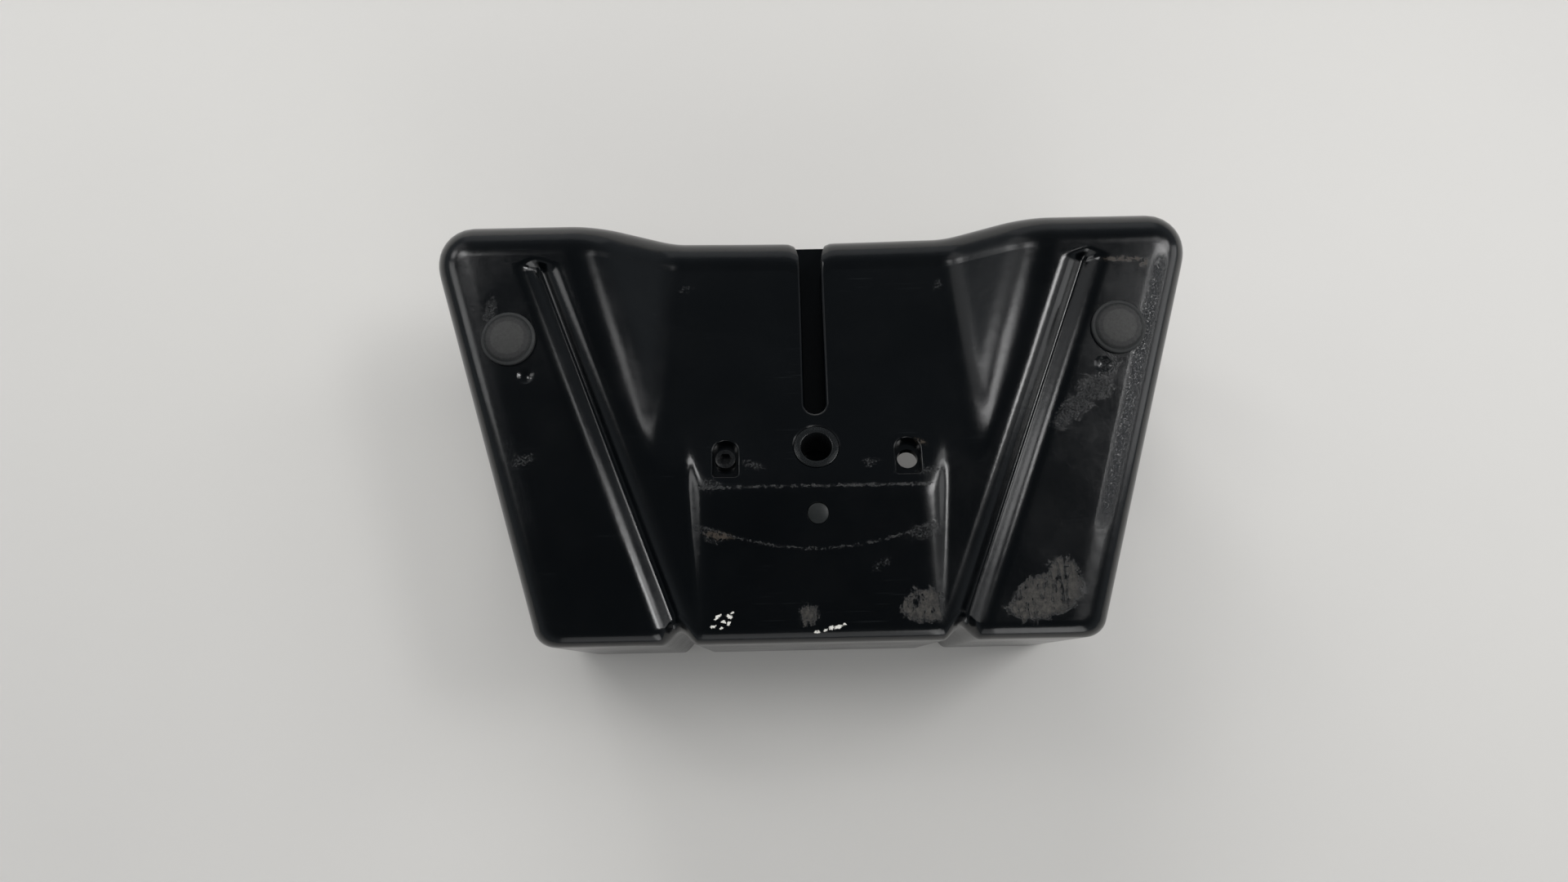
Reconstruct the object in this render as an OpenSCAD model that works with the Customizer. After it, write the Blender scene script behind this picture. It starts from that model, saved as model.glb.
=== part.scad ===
// Dual water bottle cage: a moulded back shell that carries two ring-and-cup cages.
// The part lies on its front. +X runs across it, +Y towards the mouths of the cages,
// +Z out of its back. The origin is the centre of the box, at the surface it lies on.

/* [Back shell] */
// Length of the shell from its foot to its top edge
shell_len = 158.4; // [154:0.2:164]
// Width of the shell half way along, at the back face
shell_mid_w = 240; // [236:1:250]
// Lean of the side edges and of the cages
side_lean = 15.9; // [14:0.1:17]
// Height of the flat back face above the surface the part lies on
face_z = 95.8; // [94:0.1:98]
// Wall thickness
wall = 3; // [2.4:0.1:3.4]
// Draft of the side and bottom walls
draft = 2; // [1:0.1:2.5]
// Radius of the top edge
top_round = 15; // [12:0.5:16]
// Radius of the side edges
side_round = 9; // [7:0.5:11]
// Radius of the bottom edge
bottom_round = 6; // [5:0.5:8]
// Plan radius of the corners, inside the edge radii
corner_round = 3; // [2:0.5:5]
// Height of the side walls' rim, half way along
rim_z = 52; // [40:1:60]

/* [Seat, block and grooves] */
// Fall of the seat towards the top edge, as rise over run
seat_slope = 0.28; // [0.24:0.01:0.3]
// Place along Y where the seat leaves the face
seat_start_y = -11; // [-13:0.2:-9]
// Width of the seat where it leaves the face
seat_w = 114.4; // [110:0.2:118]
// Outward run of the seat's upper edge for each unit of length
seat_flare = 0.31; // [0.28:0.01:0.34]
// Inward run of the seat's lower edge for each unit of length
seat_taper = 0.06; // [0.04:0.01:0.1]
// Rise of the mounting block above the face, at its crest
block_rise = 3.2; // [2.6:0.1:4]
// Fall of the block's face from its crest to its foot, as rise over run
block_fall = 0.06; // [0.03:0.01:0.06]
// Width of the block at its crest, where its sides meet the face
block_w = 89.4; // [87:0.2:92]
// Inward run of the block's sides for each unit of length below the crest
block_taper = 0.068; // [0.04:0.002:0.09]
// Run of each side of the block at its crest
block_side = 5.4; // [4:0.2:7]
// Depth of the two grooves
groove_depth = 3.9; // [3:0.1:4.4]
// Distance between the two grooves at mid length
groove_gap = 152.4; // [149:0.2:155]
// Angle of the grooves to the centre line
groove_lean = 20.8; // [19.5:0.1:22]
// Place along Y where the grooves start to fade out
groove_end_y = 59.5; // [54:0.5:61]
// Depth of the notches where the grooves leave the bottom edge
notch_depth = 4.6; // [3:0.2:6]

/* [Slot and holes] */
// Width of the blind slot in the seat
slot_w = 7.4; // [6.8:0.1:9]
// Centre of the slot's round end along Y
slot_end_y = 8.5; // [7:0.5:12]
// Height of the slot's floor
slot_floor_z = 60; // [58:0.5:64]
// Height of the sill at the slot's mouth
slot_sill_z = 65; // [64:0.5:67]
// Centre hole along Y
centre_hole_y = -8; // [-9:0.1:-7]
// Distance between the two mounting holes
hole_gap = 64; // [60:0.5:66]
// Mounting holes along Y
hole_y = -11.8; // [-13:0.1:-11]
// Diameter of the mounting holes
hole_d = 7.2; // [6.6:0.1:7.6]
// Width of the screw pockets
pocket_w = 8.8; // [8.6:0.1:10]
// Length of the screw pockets
pocket_len = 13.8; // [13:0.2:16]
// Depth of the screw pockets
pocket_depth = 3.4; // [3.2:0.1:4]
// Thickness of the floor under the pockets
pocket_floor = 2.6; // [2:0.1:3]

/* [Cages] */
// Inner diameter of the cages
cage_bore_d = 74; // [73:0.1:75]
// Wall of the cages
cage_wall = 2.5; // [2:0.1:2.6]
// Distance of the cages' axes from the centre line at mid length
cage_x = 76; // [75:0.5:77]
// Distance from the foot of the shell to the bottom of the cages, on their axes
cage_foot_gap = 18.7; // [18:0.1:22]
// Distance from the mouths of the cages to the top edge, on their axes
cage_top_gap = 12.7; // [12:0.1:18]
// Length of the cup
cup_len = 40; // [30:1:44]
// Width of the upper hoop along the cage
hoop_w = 36; // [24:1:40]
// Width of the spine
spine_w = 26; // [22:1:30]
// How far the spine stands back from the bottle
spine_relief = 0.8; // [0.4:0.1:1.2]
// Diameter of the drain hole
drain_d = 12; // [8:0.5:16]
// Distance between the two screws of a cage
screw_gap = 64; // [60:1:66]
// Distance from the bottom of the cage to its first screw
screw_start = 28; // [24:1:32]

/* [Fasteners] */
// Thread diameter of the cage screws
screw_d = 5; // [4:0.5:5]
// Length of the cage screws under the head
screw_len = 7; // [6:0.5:7.5]
// Head diameter of the cage screws
screw_head_d = 8.6; // [8:0.1:9]
// Head height of the cage screws
screw_head_h = 2; // [1.8:0.1:2.2]
// Thickness of the washers
washer_t = 0.8; // [0.5:0.1:1]
// Outer diameter of the threaded inserts
insert_d = 7; // [6.6:0.1:8]
// Length of the threaded inserts
insert_len = 5; // [4:0.1:5.2]
// Diameter of the standoffs that hold the inserts
boss_d = 12; // [11:0.2:14]
// Width across the flats of the cage screws' sockets
socket_af = 3; // [2:0.1:3.5]
// Thread diameter of the captive screw
stud_d = 5; // [4:0.1:5]
// Length of the captive screw under its head
stud_len = 8.5; // [8:0.5:12]
// Head diameter of the captive screw
stud_head_d = 7; // [6.4:0.1:8]
// Head height of the captive screw
stud_head_h = 2.8; // [2.4:0.1:3]
// Width across the flats of the captive screw's socket
stud_socket_af = 4; // [3:0.1:4]
// Width across the flats of the captive nut
nut_af = 8; // [7:0.1:9]
// Thickness of the captive nut
nut_t = 4; // [2.4:0.1:4.5]

/* [Bumpers, bush and plug] */
// Diameter of the rubber bumpers
bumper_d = 19.3; // [17:0.1:21]
// Height of the bumpers above the face
bumper_h = 3.2; // [2:0.1:4]
// How far the bumpers stand outside the middle of the wings
bumper_out = -0.2; // [-3:0.1:3]
// Bumpers along Y
bumper_y = 32.8; // [30:0.2:36]
// Diameter of the bumpers' stems
stem_d = 6; // [5:0.1:7]
// Outer diameter of the bumpers' push-on clips
clip_d = 13; // [11:0.5:14]
// Thickness of the clips
clip_t = 0.8; // [0.6:0.1:1.2]
// Flange diameter of the centre bush
flange_d = 15.8; // [15:0.1:17]
// Thickness of the bush's flange
flange_t = 1.2; // [1:0.1:1.6]
// Outer diameter of the bush
bush_d = 13.4; // [13:0.1:14]
// Bore of the bush
bush_bore_d = 11; // [9:0.1:11.2]
// Length of the bush
bush_len = 15; // [12:0.5:18]
// Diameter of the blanking plug
plug_d = 7.2; // [6:0.1:9]
// Blanking plug along Y
plug_y = -32; // [-40:0.5:-30]
// Diameter of the small round dimples
dimple_d = 6.3; // [5:0.1:7]
// Depth of the small round dimples
dimple_depth = 0.6; // [0.3:0.1:0.8]

/* [Hidden] */
$fn = 48;
eps = 0.01;
seat_clear = 0.1;    // gap round pieces that drop into a seat
thread_clear = 0.15; // gap round a screw that passes through a plain hole
press_clear = 0.02;  // gap round a piece that is pressed in
LEFT = -1;
RIGHT = 1;

cage_r = cage_bore_d / 2;
cage_out_r = cage_r + cage_wall;

// ---- Outline of the shell in plan ----
lean_slope = tan(side_lean);
top_y = shell_len / 2;
wall_run = (face_z - bottom_round) * tan(draft); // lean of the bottom wall
bottom_y = -shell_len / 2 + wall_run;      // bottom edge at the level of the face
function edge_x(y) = shell_mid_w / 2 + lean_slope * y;

// The flat part of the face ends where the edge radii begin
flat_top_y = top_y - top_round;
flat_bottom_y = bottom_y + bottom_round;
function flat_x(y) = edge_x(y) - side_round / cos(side_lean);
function corner_x(y) = flat_x(y) - corner_round / cos(side_lean);
top_corner_y = flat_top_y - corner_round;
bottom_corner_y = flat_bottom_y + corner_round;

// ---- Height of the back face ----
block_z = face_z + block_rise;
crest_y = seat_start_y - block_rise / seat_slope;
block_side_slope = block_rise / block_side;
groove_slope = tan(groove_lean);
seat_wall_slope = seat_slope / (seat_flare + seat_taper);
function groove_x(y) = groove_gap / 2 + groove_slope * y;
function soft_min(a, b, k) = min(a, b) - pow(max(k - abs(a - b), 0), 2) / (4 * k);
function soft_max(a, b, k) = -soft_min(-a, -b, k);
function ease(t) = let(c = max(0, min(1, t))) c * c * (3 - 2 * c);
function hump(t) = (1 + cos(180 * max(-1, min(1, t)))) / 2;

function seat_z(y) = face_z - seat_slope * (y - seat_start_y);
function seat_edge_x(y) = seat_w / 2 + seat_flare * (y - seat_start_y);
function seat_foot_x(y) = seat_w / 2 - seat_taper * (y - seat_start_y);
function seat_wall_z(x, y) = face_z - seat_wall_slope * (seat_edge_x(y) - abs(x));
function groove_z(x, y) =
    let(off = (abs(x) - groove_x(y)) * cos(groove_lean),
        fade = groove_depth * ease((y - groove_end_y) / (flat_top_y - groove_end_y)))
    face_z - groove_depth + fade + sqrt(off * off + 1.4) - sqrt(1.4);
function block_top_z(y) = block_z + block_fall * min(0, y - crest_y);
function block_foot_x(y) = block_w / 2 + block_taper * min(0, y - crest_y);
function block_side_z(x, y) = face_z + (block_foot_x(y) - abs(x)) * block_side_slope;
// The land with the block on it; the seat's middle runs on up the block in one plane
function land_z(x, y) =
    soft_max(face_z, soft_min(block_top_z(y), block_side_z(x, y), 2.2), 1.2);
// The seat's rim is crisp at the block and rounder towards the mouths
function rim_blend(y) = 1.6 + 5.4 * ease((y - crest_y) / 50);
function dished_z(x, y) =
    soft_min(soft_max(seat_z(y), seat_wall_z(x, y), 4), land_z(x, y), rim_blend(y));
function back_z(x, y) = soft_min(dished_z(x, y), groove_z(x, y), 3.5);

// ---- Grid that carries the back face: columns follow the features ----
foot_lines = [[flat_bottom_y, block_foot_x(flat_bottom_y)], [crest_y, block_w / 2],
    [crest_y + 9, block_w / 2 + 0.5], [seat_start_y + 3, seat_w / 2 - 1]];
land_low_x = groove_x(flat_bottom_y) - 4.9;
land_slope = (seat_w / 2 + 1 - land_low_x) / (seat_start_y - flat_bottom_y);
function line_top(y) = block_foot_x(y) - 0.8
    - max(0, min(seat_z(y), block_top_z(y)) - face_z) / block_side_slope;
function line_foot(y) = y < seat_start_y + 3 ? lookup(y, foot_lines) : seat_foot_x(y);
function line_land(y) =
    y < seat_start_y ? land_low_x + land_slope * (y - flat_bottom_y) : seat_edge_x(y) + 1;
function line_shoulder(y) = groove_x(y) - 5.6 + 2.6 * ease((flat_bottom_y + 20 - y) / 20);
function lines(y, half_w) = [0, line_top(y), line_foot(y), line_land(y), line_shoulder(y),
    groove_x(y), groove_x(y) + 5.6, half_w];
steps = [4, 2, 4, 2, 4, 4, 4];  // columns between neighbouring lines
function half_row(y, half_w) = let(l = lines(y, half_w))
    concat([for (s = [0:len(steps) - 1]) for (k = [0:steps[s] - 1])
        l[s] + (l[s + 1] - l[s]) * k / steps[s]], [half_w]);
function mirrored(r) = concat([for (i = [len(r) - 1:-1:1]) -r[i]], r);

arc_steps = 4;
function bottom_turn(k) = -90 + (90 - side_lean) * k / arc_steps;
function top_turn(k) = -side_lean + (90 + side_lean) * k / arc_steps;
function spread(a, b, n) = [for (k = [1:n]) a + (b - a) * k / n];
straight_start_y = bottom_corner_y - corner_round * sin(side_lean);
straight_end_y = top_corner_y - corner_round * sin(side_lean);
side_rows = concat(spread(straight_start_y, crest_y - 3, 6), [crest_y, crest_y + 3],
    spread(crest_y + 3, seat_start_y, 2), spread(seat_start_y, straight_end_y, 8));
// Each row is [y, half width, direction of the outline's outward normal]
rows = concat(
    [for (k = [0:arc_steps]) let(a = bottom_turn(k))
        [bottom_corner_y + corner_round * sin(a),
         corner_x(bottom_corner_y) + corner_round * cos(a), a]],
    [for (y = side_rows) [y, flat_x(y), -side_lean]],
    [for (k = [1:arc_steps]) let(a = top_turn(k))
        [top_corner_y + corner_round * sin(a),
         corner_x(top_corner_y) + corner_round * cos(a), a]]);
row_n = len(rows);
col_n = 2 * len(half_row(0, shell_mid_w / 2)) - 1;

// Notches, the slot's mouth and the slight bow of the top edge move the plan points
mouth_half = 9;
mouth_depth = 4.4;
top_bow = 1;
notch_half = 6.5;
function plan_shift(x, y) =
    notch_depth * hump((abs(x) - groove_x(flat_bottom_y) + 1) / notch_half)
        * (1 - ease((y - flat_bottom_y) / 12))
    - (mouth_depth * hump(x / mouth_half) + top_bow * (1 - ease(abs(x) / 80)))
        * ease((y - flat_top_y + 15) / 15);
function plan_point(i, j) =
    let(r = rows[j], x = mirrored(half_row(r[0], r[1]))[i]) [x, r[0] + plan_shift(x, r[0])];

// The outline, anticlockwise from the lower left: [column, row, normal, radius]
function edge_round(turn) = turn > -side_lean
    ? side_round + (top_round - side_round) * ease((turn + side_lean) / (90 + side_lean))
    : side_round + (bottom_round - side_round) * ease((-side_lean - turn) / (90 - side_lean));
loop = concat(
    [for (i = [0:col_n - 1]) [i, 0, -90, bottom_round]],
    [for (j = [1:row_n - 1]) [col_n - 1, j, rows[j][2], edge_round(rows[j][2])]],
    [for (i = [col_n - 2:-1:0]) [i, row_n - 1, 90, top_round]],
    [for (j = [row_n - 2:-1:1]) [0, j, 180 - rows[j][2], edge_round(rows[j][2])]]);
loop_n = len(loop);

// At the mouths the edge stops turning where it would come into a bottle's way
mouth_clear = 2.5;   // gap between a bottle and the outer skin's last turn
function bottle_top_z(p) =
    let(off = (abs(p[0]) - cage_x - lean_slope * p[1]) * cos(side_lean), r = cage_r + mouth_clear)
    cage_out_r + sqrt(max(0, r * r - off * off));
function bend_end(p, edge_z, radius) =
    let(room = bottle_top_z(p) - (edge_z - radius)) room > 0 ? acos(min(1, room / radius)) : 90;

// Foot of the wall: full depth at the bottom, rim_z at the sides, short at the top
rim_rise_y = 0;      // where the sloping rim reaches rim_z
mouth_start_y = 20;  // where the rim starts to rise clear of the cages' mouths
least_drop = 1;      // the wall goes on at least this far past the edge's last turn
function rim_height(y) =
    rim_z * ease((y - bottom_corner_y) / (rim_rise_y - bottom_corner_y))
    + (face_z - top_round - rim_z) * ease((y - mouth_start_y) / (top_corner_y - mouth_start_y));

// One skin of the shell: face grid, rounded edge and wall; inset moves it inwards
function skin_points(step, inset, turns) =
    let(grid = [for (j = [0:step:row_n - 1]) for (i = [0:step:col_n - 1])
            let(p = plan_point(i, j)) [p[0], p[1], back_z(p[0], p[1]) - inset]],
        edge = [for (k = [0:step:loop_n - 1])
            let(l = loop[k], p = plan_point(l[0], l[1]), z = back_z(p[0], p[1]))
            [p, l[2], l[3] - inset, z - inset, bend_end(p, z, l[3])]],
        bend = [for (t = [1:turns]) for (e = edge)
            let(a = e[4] * t / turns, out = e[2] * sin(a))
            [e[0][0] + out * cos(e[1]), e[0][1] + out * sin(e[1]), e[3] - e[2] * (1 - cos(a))]],
        foot = [for (e = edge)
            let(z = e[3] - e[2] * (1 - cos(e[4])),
                drop = max(least_drop, z - rim_height(e[0][1])),
                out = e[2] * sin(e[4]) + drop * (cos(e[4]) + tan(draft)))
            [e[0][0] + out * cos(e[1]), e[0][1] + out * sin(e[1]), z - drop * sin(e[4])]])
    concat(grid, bend, foot);

// Faces of one skin, as seen from outside; flip turns them over
function skin_faces(cols, rws, rings, first, flip) =
    let(n = 2 * (cols + rws) - 4,
        edge_ids = concat([for (i = [0:cols - 1]) i], [for (j = [1:rws - 1]) j * cols + cols - 1],
            [for (i = [cols - 2:-1:0]) (rws - 1) * cols + i], [for (j = [rws - 2:-1:1]) j * cols]),
        ring_id = function(r, k) first + (r == 0 ? edge_ids[k % n] : cols * rws + (r - 1) * n + k % n),
        quads = concat(
            [for (j = [0:rws - 2]) for (i = [0:cols - 2]) let(a = first + j * cols + i)
                [a, a + cols, a + cols + 1, a + 1]],
            [for (r = [0:rings - 1]) for (k = [0:n - 1])
                [ring_id(r, k), ring_id(r, k + 1), ring_id(r + 1, k + 1), ring_id(r + 1, k)]]))
    [for (q = quads) for (t = [[q[0], q[1], q[2]], [q[0], q[2], q[3]]])
        flip ? [t[2], t[1], t[0]] : t];

outer_turns = 6;
inner_turns = 3;

module shell_skin() {
    outer = skin_points(1, 0, outer_turns);
    inner = skin_points(2, wall, inner_turns);
    cols_in = (col_n + 1) / 2;
    rows_in = (row_n + 1) / 2;
    n_in = loop_n / 2;
    foot_out = len(outer) - loop_n;
    foot_in = len(outer) + len(inner) - n_in;
    rim = [for (k = [0:n_in - 1])
        let(a = foot_out + 2 * k, b = a + 1, c = foot_out + (2 * k + 2) % loop_n,
            d = foot_in + k, e = foot_in + (k + 1) % n_in)
        each [[a, b, d], [b, e, d], [b, c, e]]];
    polyhedron(concat(outer, inner), concat(
        skin_faces(col_n, row_n, outer_turns + 1, 0, false),
        skin_faces(cols_in, rows_in, inner_turns + 1, len(outer), true), rim), convexity = 10);
}

// ---- Places shared by the shell and what it carries ----
seat_tilt = atan(seat_slope);
// Puts its children on the seat at (x, y), with +Z along the seat's outward normal
module on_seat(x, y) {
    translate([x, y, seat_z(y)]) rotate([-seat_tilt, 0, 0]) children();
}
// Puts its children on the block's face on the centre line, with +Z out of it
module on_block(y) {
    translate([0, y, block_top_z(y)]) rotate([atan(block_fall), 0, 0]) children();
}
// Puts its children at a cage's foot, +Z along the cage, +Y towards the back shell
cage_foot_y = cage_foot_gap - shell_len / 2;
cage_len = (shell_len - cage_foot_gap - cage_top_gap) / cos(side_lean);
module on_cage(side) {
    translate([side * (cage_x + lean_slope * cage_foot_y), cage_foot_y, cage_out_r])
        rotate([0, 0, -side * side_lean]) rotate([-90, 0, 0]) mirror([0, 1, 0]) children();
}
screw_places = [screw_start, screw_start + screw_gap];
pad_z = 2 * cage_out_r + washer_t + screw_head_h - 0.8;   // back of the spine's pad
pad_r = pad_z - cage_out_r;
// Top of the standoff at t along a cage: within the wall, clear of the face's lowest point there
function boss_top_z(t) =
    let(x = cage_x + lean_slope * cage_foot_y + sin(side_lean) * t,
        y = cage_foot_y + cos(side_lean) * t)
    min([for (r = [0, boss_d / 4, boss_d / 2]) for (a = [0:20:340])
        back_z(x + r * cos(a), y + r * sin(a))]) - 0.8;
clip_pad = 0.8;       // how far the clips' seats stand below the inner face
clip_z = face_z - wall - clip_pad - clip_t;
bumper_x = (groove_x(bumper_y) + edge_x(bumper_y)) / 2 + bumper_out;
dimple_in = 6.3;      // from a bumper's middle to the dimple beside it, towards the centre
dimple_down = 13.3;   // and towards the foot

module stadium(width, start, end) {
    translate([0, start]) circle(d = width);
    translate([-width / 2, start]) square([width, end - start]);
}

// Trough that hangs under the blind slot, cut off just below the outer surface
module slot_trough() {
    skin = 1.2;
    trough_wall = 2.5;
    edge_c = [flat_top_y - top_bow, seat_z(flat_top_y) - top_round];
    low = slot_floor_z - trough_wall;
    back = slot_end_y - slot_w / 2 - trough_wall - 1;
    profile = concat([[back, low], [edge_c[0] + top_round - wall / 2, low]],
        [for (a = [0:15:90]) edge_c + (top_round - skin) * [cos(a), sin(a)]],
        [[back, seat_z(back) - skin]]);
    intersection() {
        translate([0, 0, low]) linear_extrude(block_z - low)
            stadium(slot_w + 2 * trough_wall, slot_end_y, top_y);
        rotate([90, 0, 90]) linear_extrude(slot_w * 3, center = true) polygon(profile);
    }
}

module arched_pocket(grow, depth) {
    translate([0, 0, -depth]) linear_extrude(depth + 10) union() {
        translate([-pocket_w / 2 - grow, -pocket_len / 2 - grow])
            square([pocket_w + 2 * grow, pocket_len - pocket_w / 2 + grow]);
        translate([0, pocket_len / 2 - pocket_w / 2]) circle(r = pocket_w / 2 + grow);
    }
}

bush_seat_d = flange_d + 2 * seat_clear;
bush_boss_d = bush_d + 2 * press_clear + 2 * wall;
bush_drop = 0.3;     // how far the flange sits below the seat
module back_shell() {
    color([0.05, 0.055, 0.06]) difference() {
        union() {
            shell_skin();
            slot_trough();
            on_seat(0, centre_hole_y) translate([0, 0, -bush_len - bush_drop - wall])
                cylinder(d = bush_boss_d, h = bush_len + wall - 1.2);
            for (side = [LEFT, RIGHT]) {
                on_seat(side * hole_gap / 2, hole_y)
                    translate([0, 0, -pocket_depth - pocket_floor])
                    cylinder(d = pocket_len + 4, h = pocket_depth + pocket_floor - 1.4);
                on_cage(side) for (t = screw_places)
                    translate([0, pad_r, t]) rotate([-90, 0, 0])
                    cylinder(d = boss_d, h = boss_top_z(t) - pad_z);
                translate([side * bumper_x, bumper_y, clip_z + clip_t])
                    cylinder(d = clip_d, h = clip_pad + wall / 2);
            }
            on_block(plug_y) translate([0, 0, -wall - 1]) cylinder(d = plug_d + 4, h = wall - 0.5);
        }
        translate([0, 0, slot_floor_z]) linear_extrude(block_z)
            stadium(slot_w, slot_end_y, flat_top_y + 2);
        translate([-slot_w / 2, flat_top_y - 4, slot_sill_z]) cube([slot_w, 2 * top_round, block_z]);
        on_seat(0, centre_hole_y) {
            translate([0, 0, -bush_len - bush_drop])
                cylinder(d = bush_d + 2 * press_clear, h = bush_len + 10);
            translate([0, 0, -flange_t - bush_drop]) cylinder(d = bush_seat_d, h = 10);
        }
        for (side = [LEFT, RIGHT]) {
            on_seat(side * hole_gap / 2, hole_y) {
                arched_pocket(0, pocket_depth);
                translate([0, 0, -20])
                    cylinder(d = side == RIGHT ? hole_d : stud_d + 2 * thread_clear, h = 30);
            }
            on_cage(side) for (t = screw_places)
                translate([0, pad_r - 1, t]) rotate([-90, 0, 0])
                cylinder(d = insert_d + 2 * press_clear, h = insert_len + 1);
            translate([side * bumper_x, bumper_y, face_z - 12])
                cylinder(d = stem_d + 2 * seat_clear, h = 20);
            translate([side * (bumper_x - dimple_in), bumper_y - dimple_down, face_z - dimple_depth])
                cylinder(d = dimple_d, h = 5);
        }
        on_block(plug_y) {
            translate([0, 0, -12]) cylinder(d = plug_stem_d + 2 * seat_clear, h = 20);
            translate([0, 0, -plug_cap_t]) cylinder(d = plug_d + 2 * seat_clear, h = 10);
        }
    }
}

// ---- Cages: cup, spine and hoop turned about one axis ----
module ring(r_in, r_out, start, height) {
    translate([0, 0, start]) difference() {
        cylinder(r = r_out, h = height, $fn = 96);
        translate([0, 0, -1]) cylinder(r = r_in, h = height + 2, $fn = 96);
    }
}
head_seat_d = screw_head_d + 1;
washer_d = head_seat_d - 2 * seat_clear;
head_room = washer_t + screw_head_h + 0.2;
washer_seat_r = cage_r + head_room;  // level of the washers' seats from the cage's axis
module cage(side) {
    color([0.06, 0.065, 0.07]) on_cage(side) difference() {
        union() {
            cylinder(r = cage_out_r, h = cage_wall, $fn = 96);
            ring(cage_r, cage_out_r, 0, cup_len);
            ring(cage_r, cage_out_r, cage_len - hoop_w, hoop_w);
            intersection() {
                translate([-spine_w / 2, 0, 0]) cube([spine_w, pad_r, cage_len]);
                ring(cage_r + spine_relief, pad_r + 2, 0, cage_len);
            }
        }
        translate([0, 0, -1]) cylinder(d = drain_d, h = cage_wall + 2);
        for (t = screw_places) translate([0, 0, t]) rotate([-90, 0, 0]) {
            cylinder(d = head_seat_d, h = washer_seat_r);
            cylinder(d = screw_d + 2 * thread_clear, h = pad_r + 5);
        }
    }
}
module cage_screws(side) {
    color("gainsboro") on_cage(side) for (t = screw_places)
        translate([0, washer_seat_r - washer_t, t]) rotate([-90, 0, 0]) difference() {
            union() {
                cylinder(d = screw_d, h = screw_len);
                translate([0, 0, -screw_head_h]) cylinder(d = screw_head_d, h = screw_head_h);
            }
            translate([0, 0, -screw_head_h - 1])
                cylinder(d = socket_af / cos(30), h = screw_head_h, $fn = 6);
        }
}
module cage_washers(side) {
    color("silver") on_cage(side) for (t = screw_places)
        translate([0, washer_seat_r - washer_t, t]) rotate([-90, 0, 0]) difference() {
            cylinder(d = washer_d, h = washer_t);
            translate([0, 0, -1]) cylinder(d = screw_d + 2 * thread_clear, h = washer_t + 2);
        }
}
module cage_inserts(side) {
    color("goldenrod") on_cage(side) for (t = screw_places)
        translate([0, pad_r, t]) rotate([-90, 0, 0]) difference() {
            cylinder(d = insert_d, h = insert_len);
            translate([0, 0, -1]) cylinder(d = screw_d + 2 * press_clear, h = insert_len + 2);
        }
}

// ---- Bumpers with their stems, held by push-on clips ----
module bumper(side) {
    rim = 1.1;
    dome_r = 42;
    rim_r = bumper_d / 2 - rim;
    tip_z = clip_z - face_z - 2.2;
    color([0.13, 0.13, 0.135]) translate([side * bumper_x, bumper_y, face_z])
        rotate_extrude($fn = 64) polygon(concat(
            [[0, tip_z], [stem_d / 2 - 0.8, tip_z], [stem_d / 2, tip_z + 0.8],
             [stem_d / 2, 0], [bumper_d / 2, 0],
             [bumper_d / 2, bumper_h - 2.2], [bumper_d / 2 - 0.5, bumper_h - 1.7],
             [rim_r, bumper_h - 1.6]],
            [for (k = [0:6]) let(r = rim_r * (1 - k / 6))
                [r, bumper_h - dome_r + sqrt(dome_r * dome_r - r * r)]]));
}
module bumper_clip(side) {
    color("darkgray") translate([side * bumper_x, bumper_y, clip_z]) difference() {
        cylinder(d = clip_d, h = clip_t);
        translate([0, 0, -1]) cylinder(d = stem_d + 2 * press_clear, h = clip_t + 2);
    }
}

// ---- Centre bush, captive screw and its nut, blanking plug ----
module centre_bush() {
    color("dimgray") on_seat(0, centre_hole_y) translate([0, 0, -bush_len - bush_drop])
        difference() {
            union() {
                cylinder(d = bush_d, h = bush_len);
                translate([0, 0, bush_len - flange_t]) cylinder(d = flange_d, h = flange_t);
            }
            translate([0, 0, -1]) cylinder(d = bush_bore_d, h = bush_len + 2);
        }
}
module captive_nut() {
    color("slategray") on_seat(LEFT * hole_gap / 2, hole_y)
        translate([0, 0, -pocket_depth - pocket_floor - nut_t]) difference() {
            rotate(30) cylinder(d = nut_af / cos(30), h = nut_t, $fn = 6);
            translate([0, 0, -1]) cylinder(d = stud_d + 2 * press_clear, h = nut_t + 2);
        }
}
module captive_screw() {
    socket_depth = 2.2;
    color("dimgray") on_seat(LEFT * hole_gap / 2, hole_y)
        translate([0, 0, -pocket_depth]) difference() {
            union() {
                translate([0, 0, -stud_len]) cylinder(d = stud_d, h = stud_len + eps);
                cylinder(d = stud_head_d, h = stud_head_h);
            }
            translate([0, 0, stud_head_h - socket_depth])
                cylinder(d = stud_socket_af / cos(30), h = 4, $fn = 6);
        }
}
plug_cap_t = 1.2;
plug_stem_d = plug_d - 2.6;
module blanking_plug() {
    color([0.09, 0.1, 0.1]) on_block(plug_y) translate([0, 0, -plug_cap_t]) {
        cylinder(d = plug_d, h = plug_cap_t - 0.1);
        translate([0, 0, -wall]) cylinder(d = plug_stem_d, h = wall + eps);
    }
}

back_shell();
cage(LEFT);  // left_cage
cage(RIGHT);  // right_cage
cage_screws(LEFT);  // left_cage_screws
cage_screws(RIGHT);  // right_cage_screws
cage_washers(LEFT);  // left_cage_washers
cage_washers(RIGHT);  // right_cage_washers
cage_inserts(LEFT);  // left_cage_inserts
cage_inserts(RIGHT);  // right_cage_inserts
bumper(LEFT);  // left_bumper
bumper(RIGHT);  // right_bumper
bumper_clip(LEFT);  // left_bumper_clip
bumper_clip(RIGHT);  // right_bumper_clip
centre_bush();
captive_nut();
captive_screw();
blanking_plug();
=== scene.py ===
"""Looks of a dual water bottle cage: a glossy black moulded back shell, worn in use,
that lies on its two ring-and-cup bottle cages with its fastening side up."""

import math

import bmesh
import bpy
import numpy as np
from mathutils import Matrix, Vector

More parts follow.
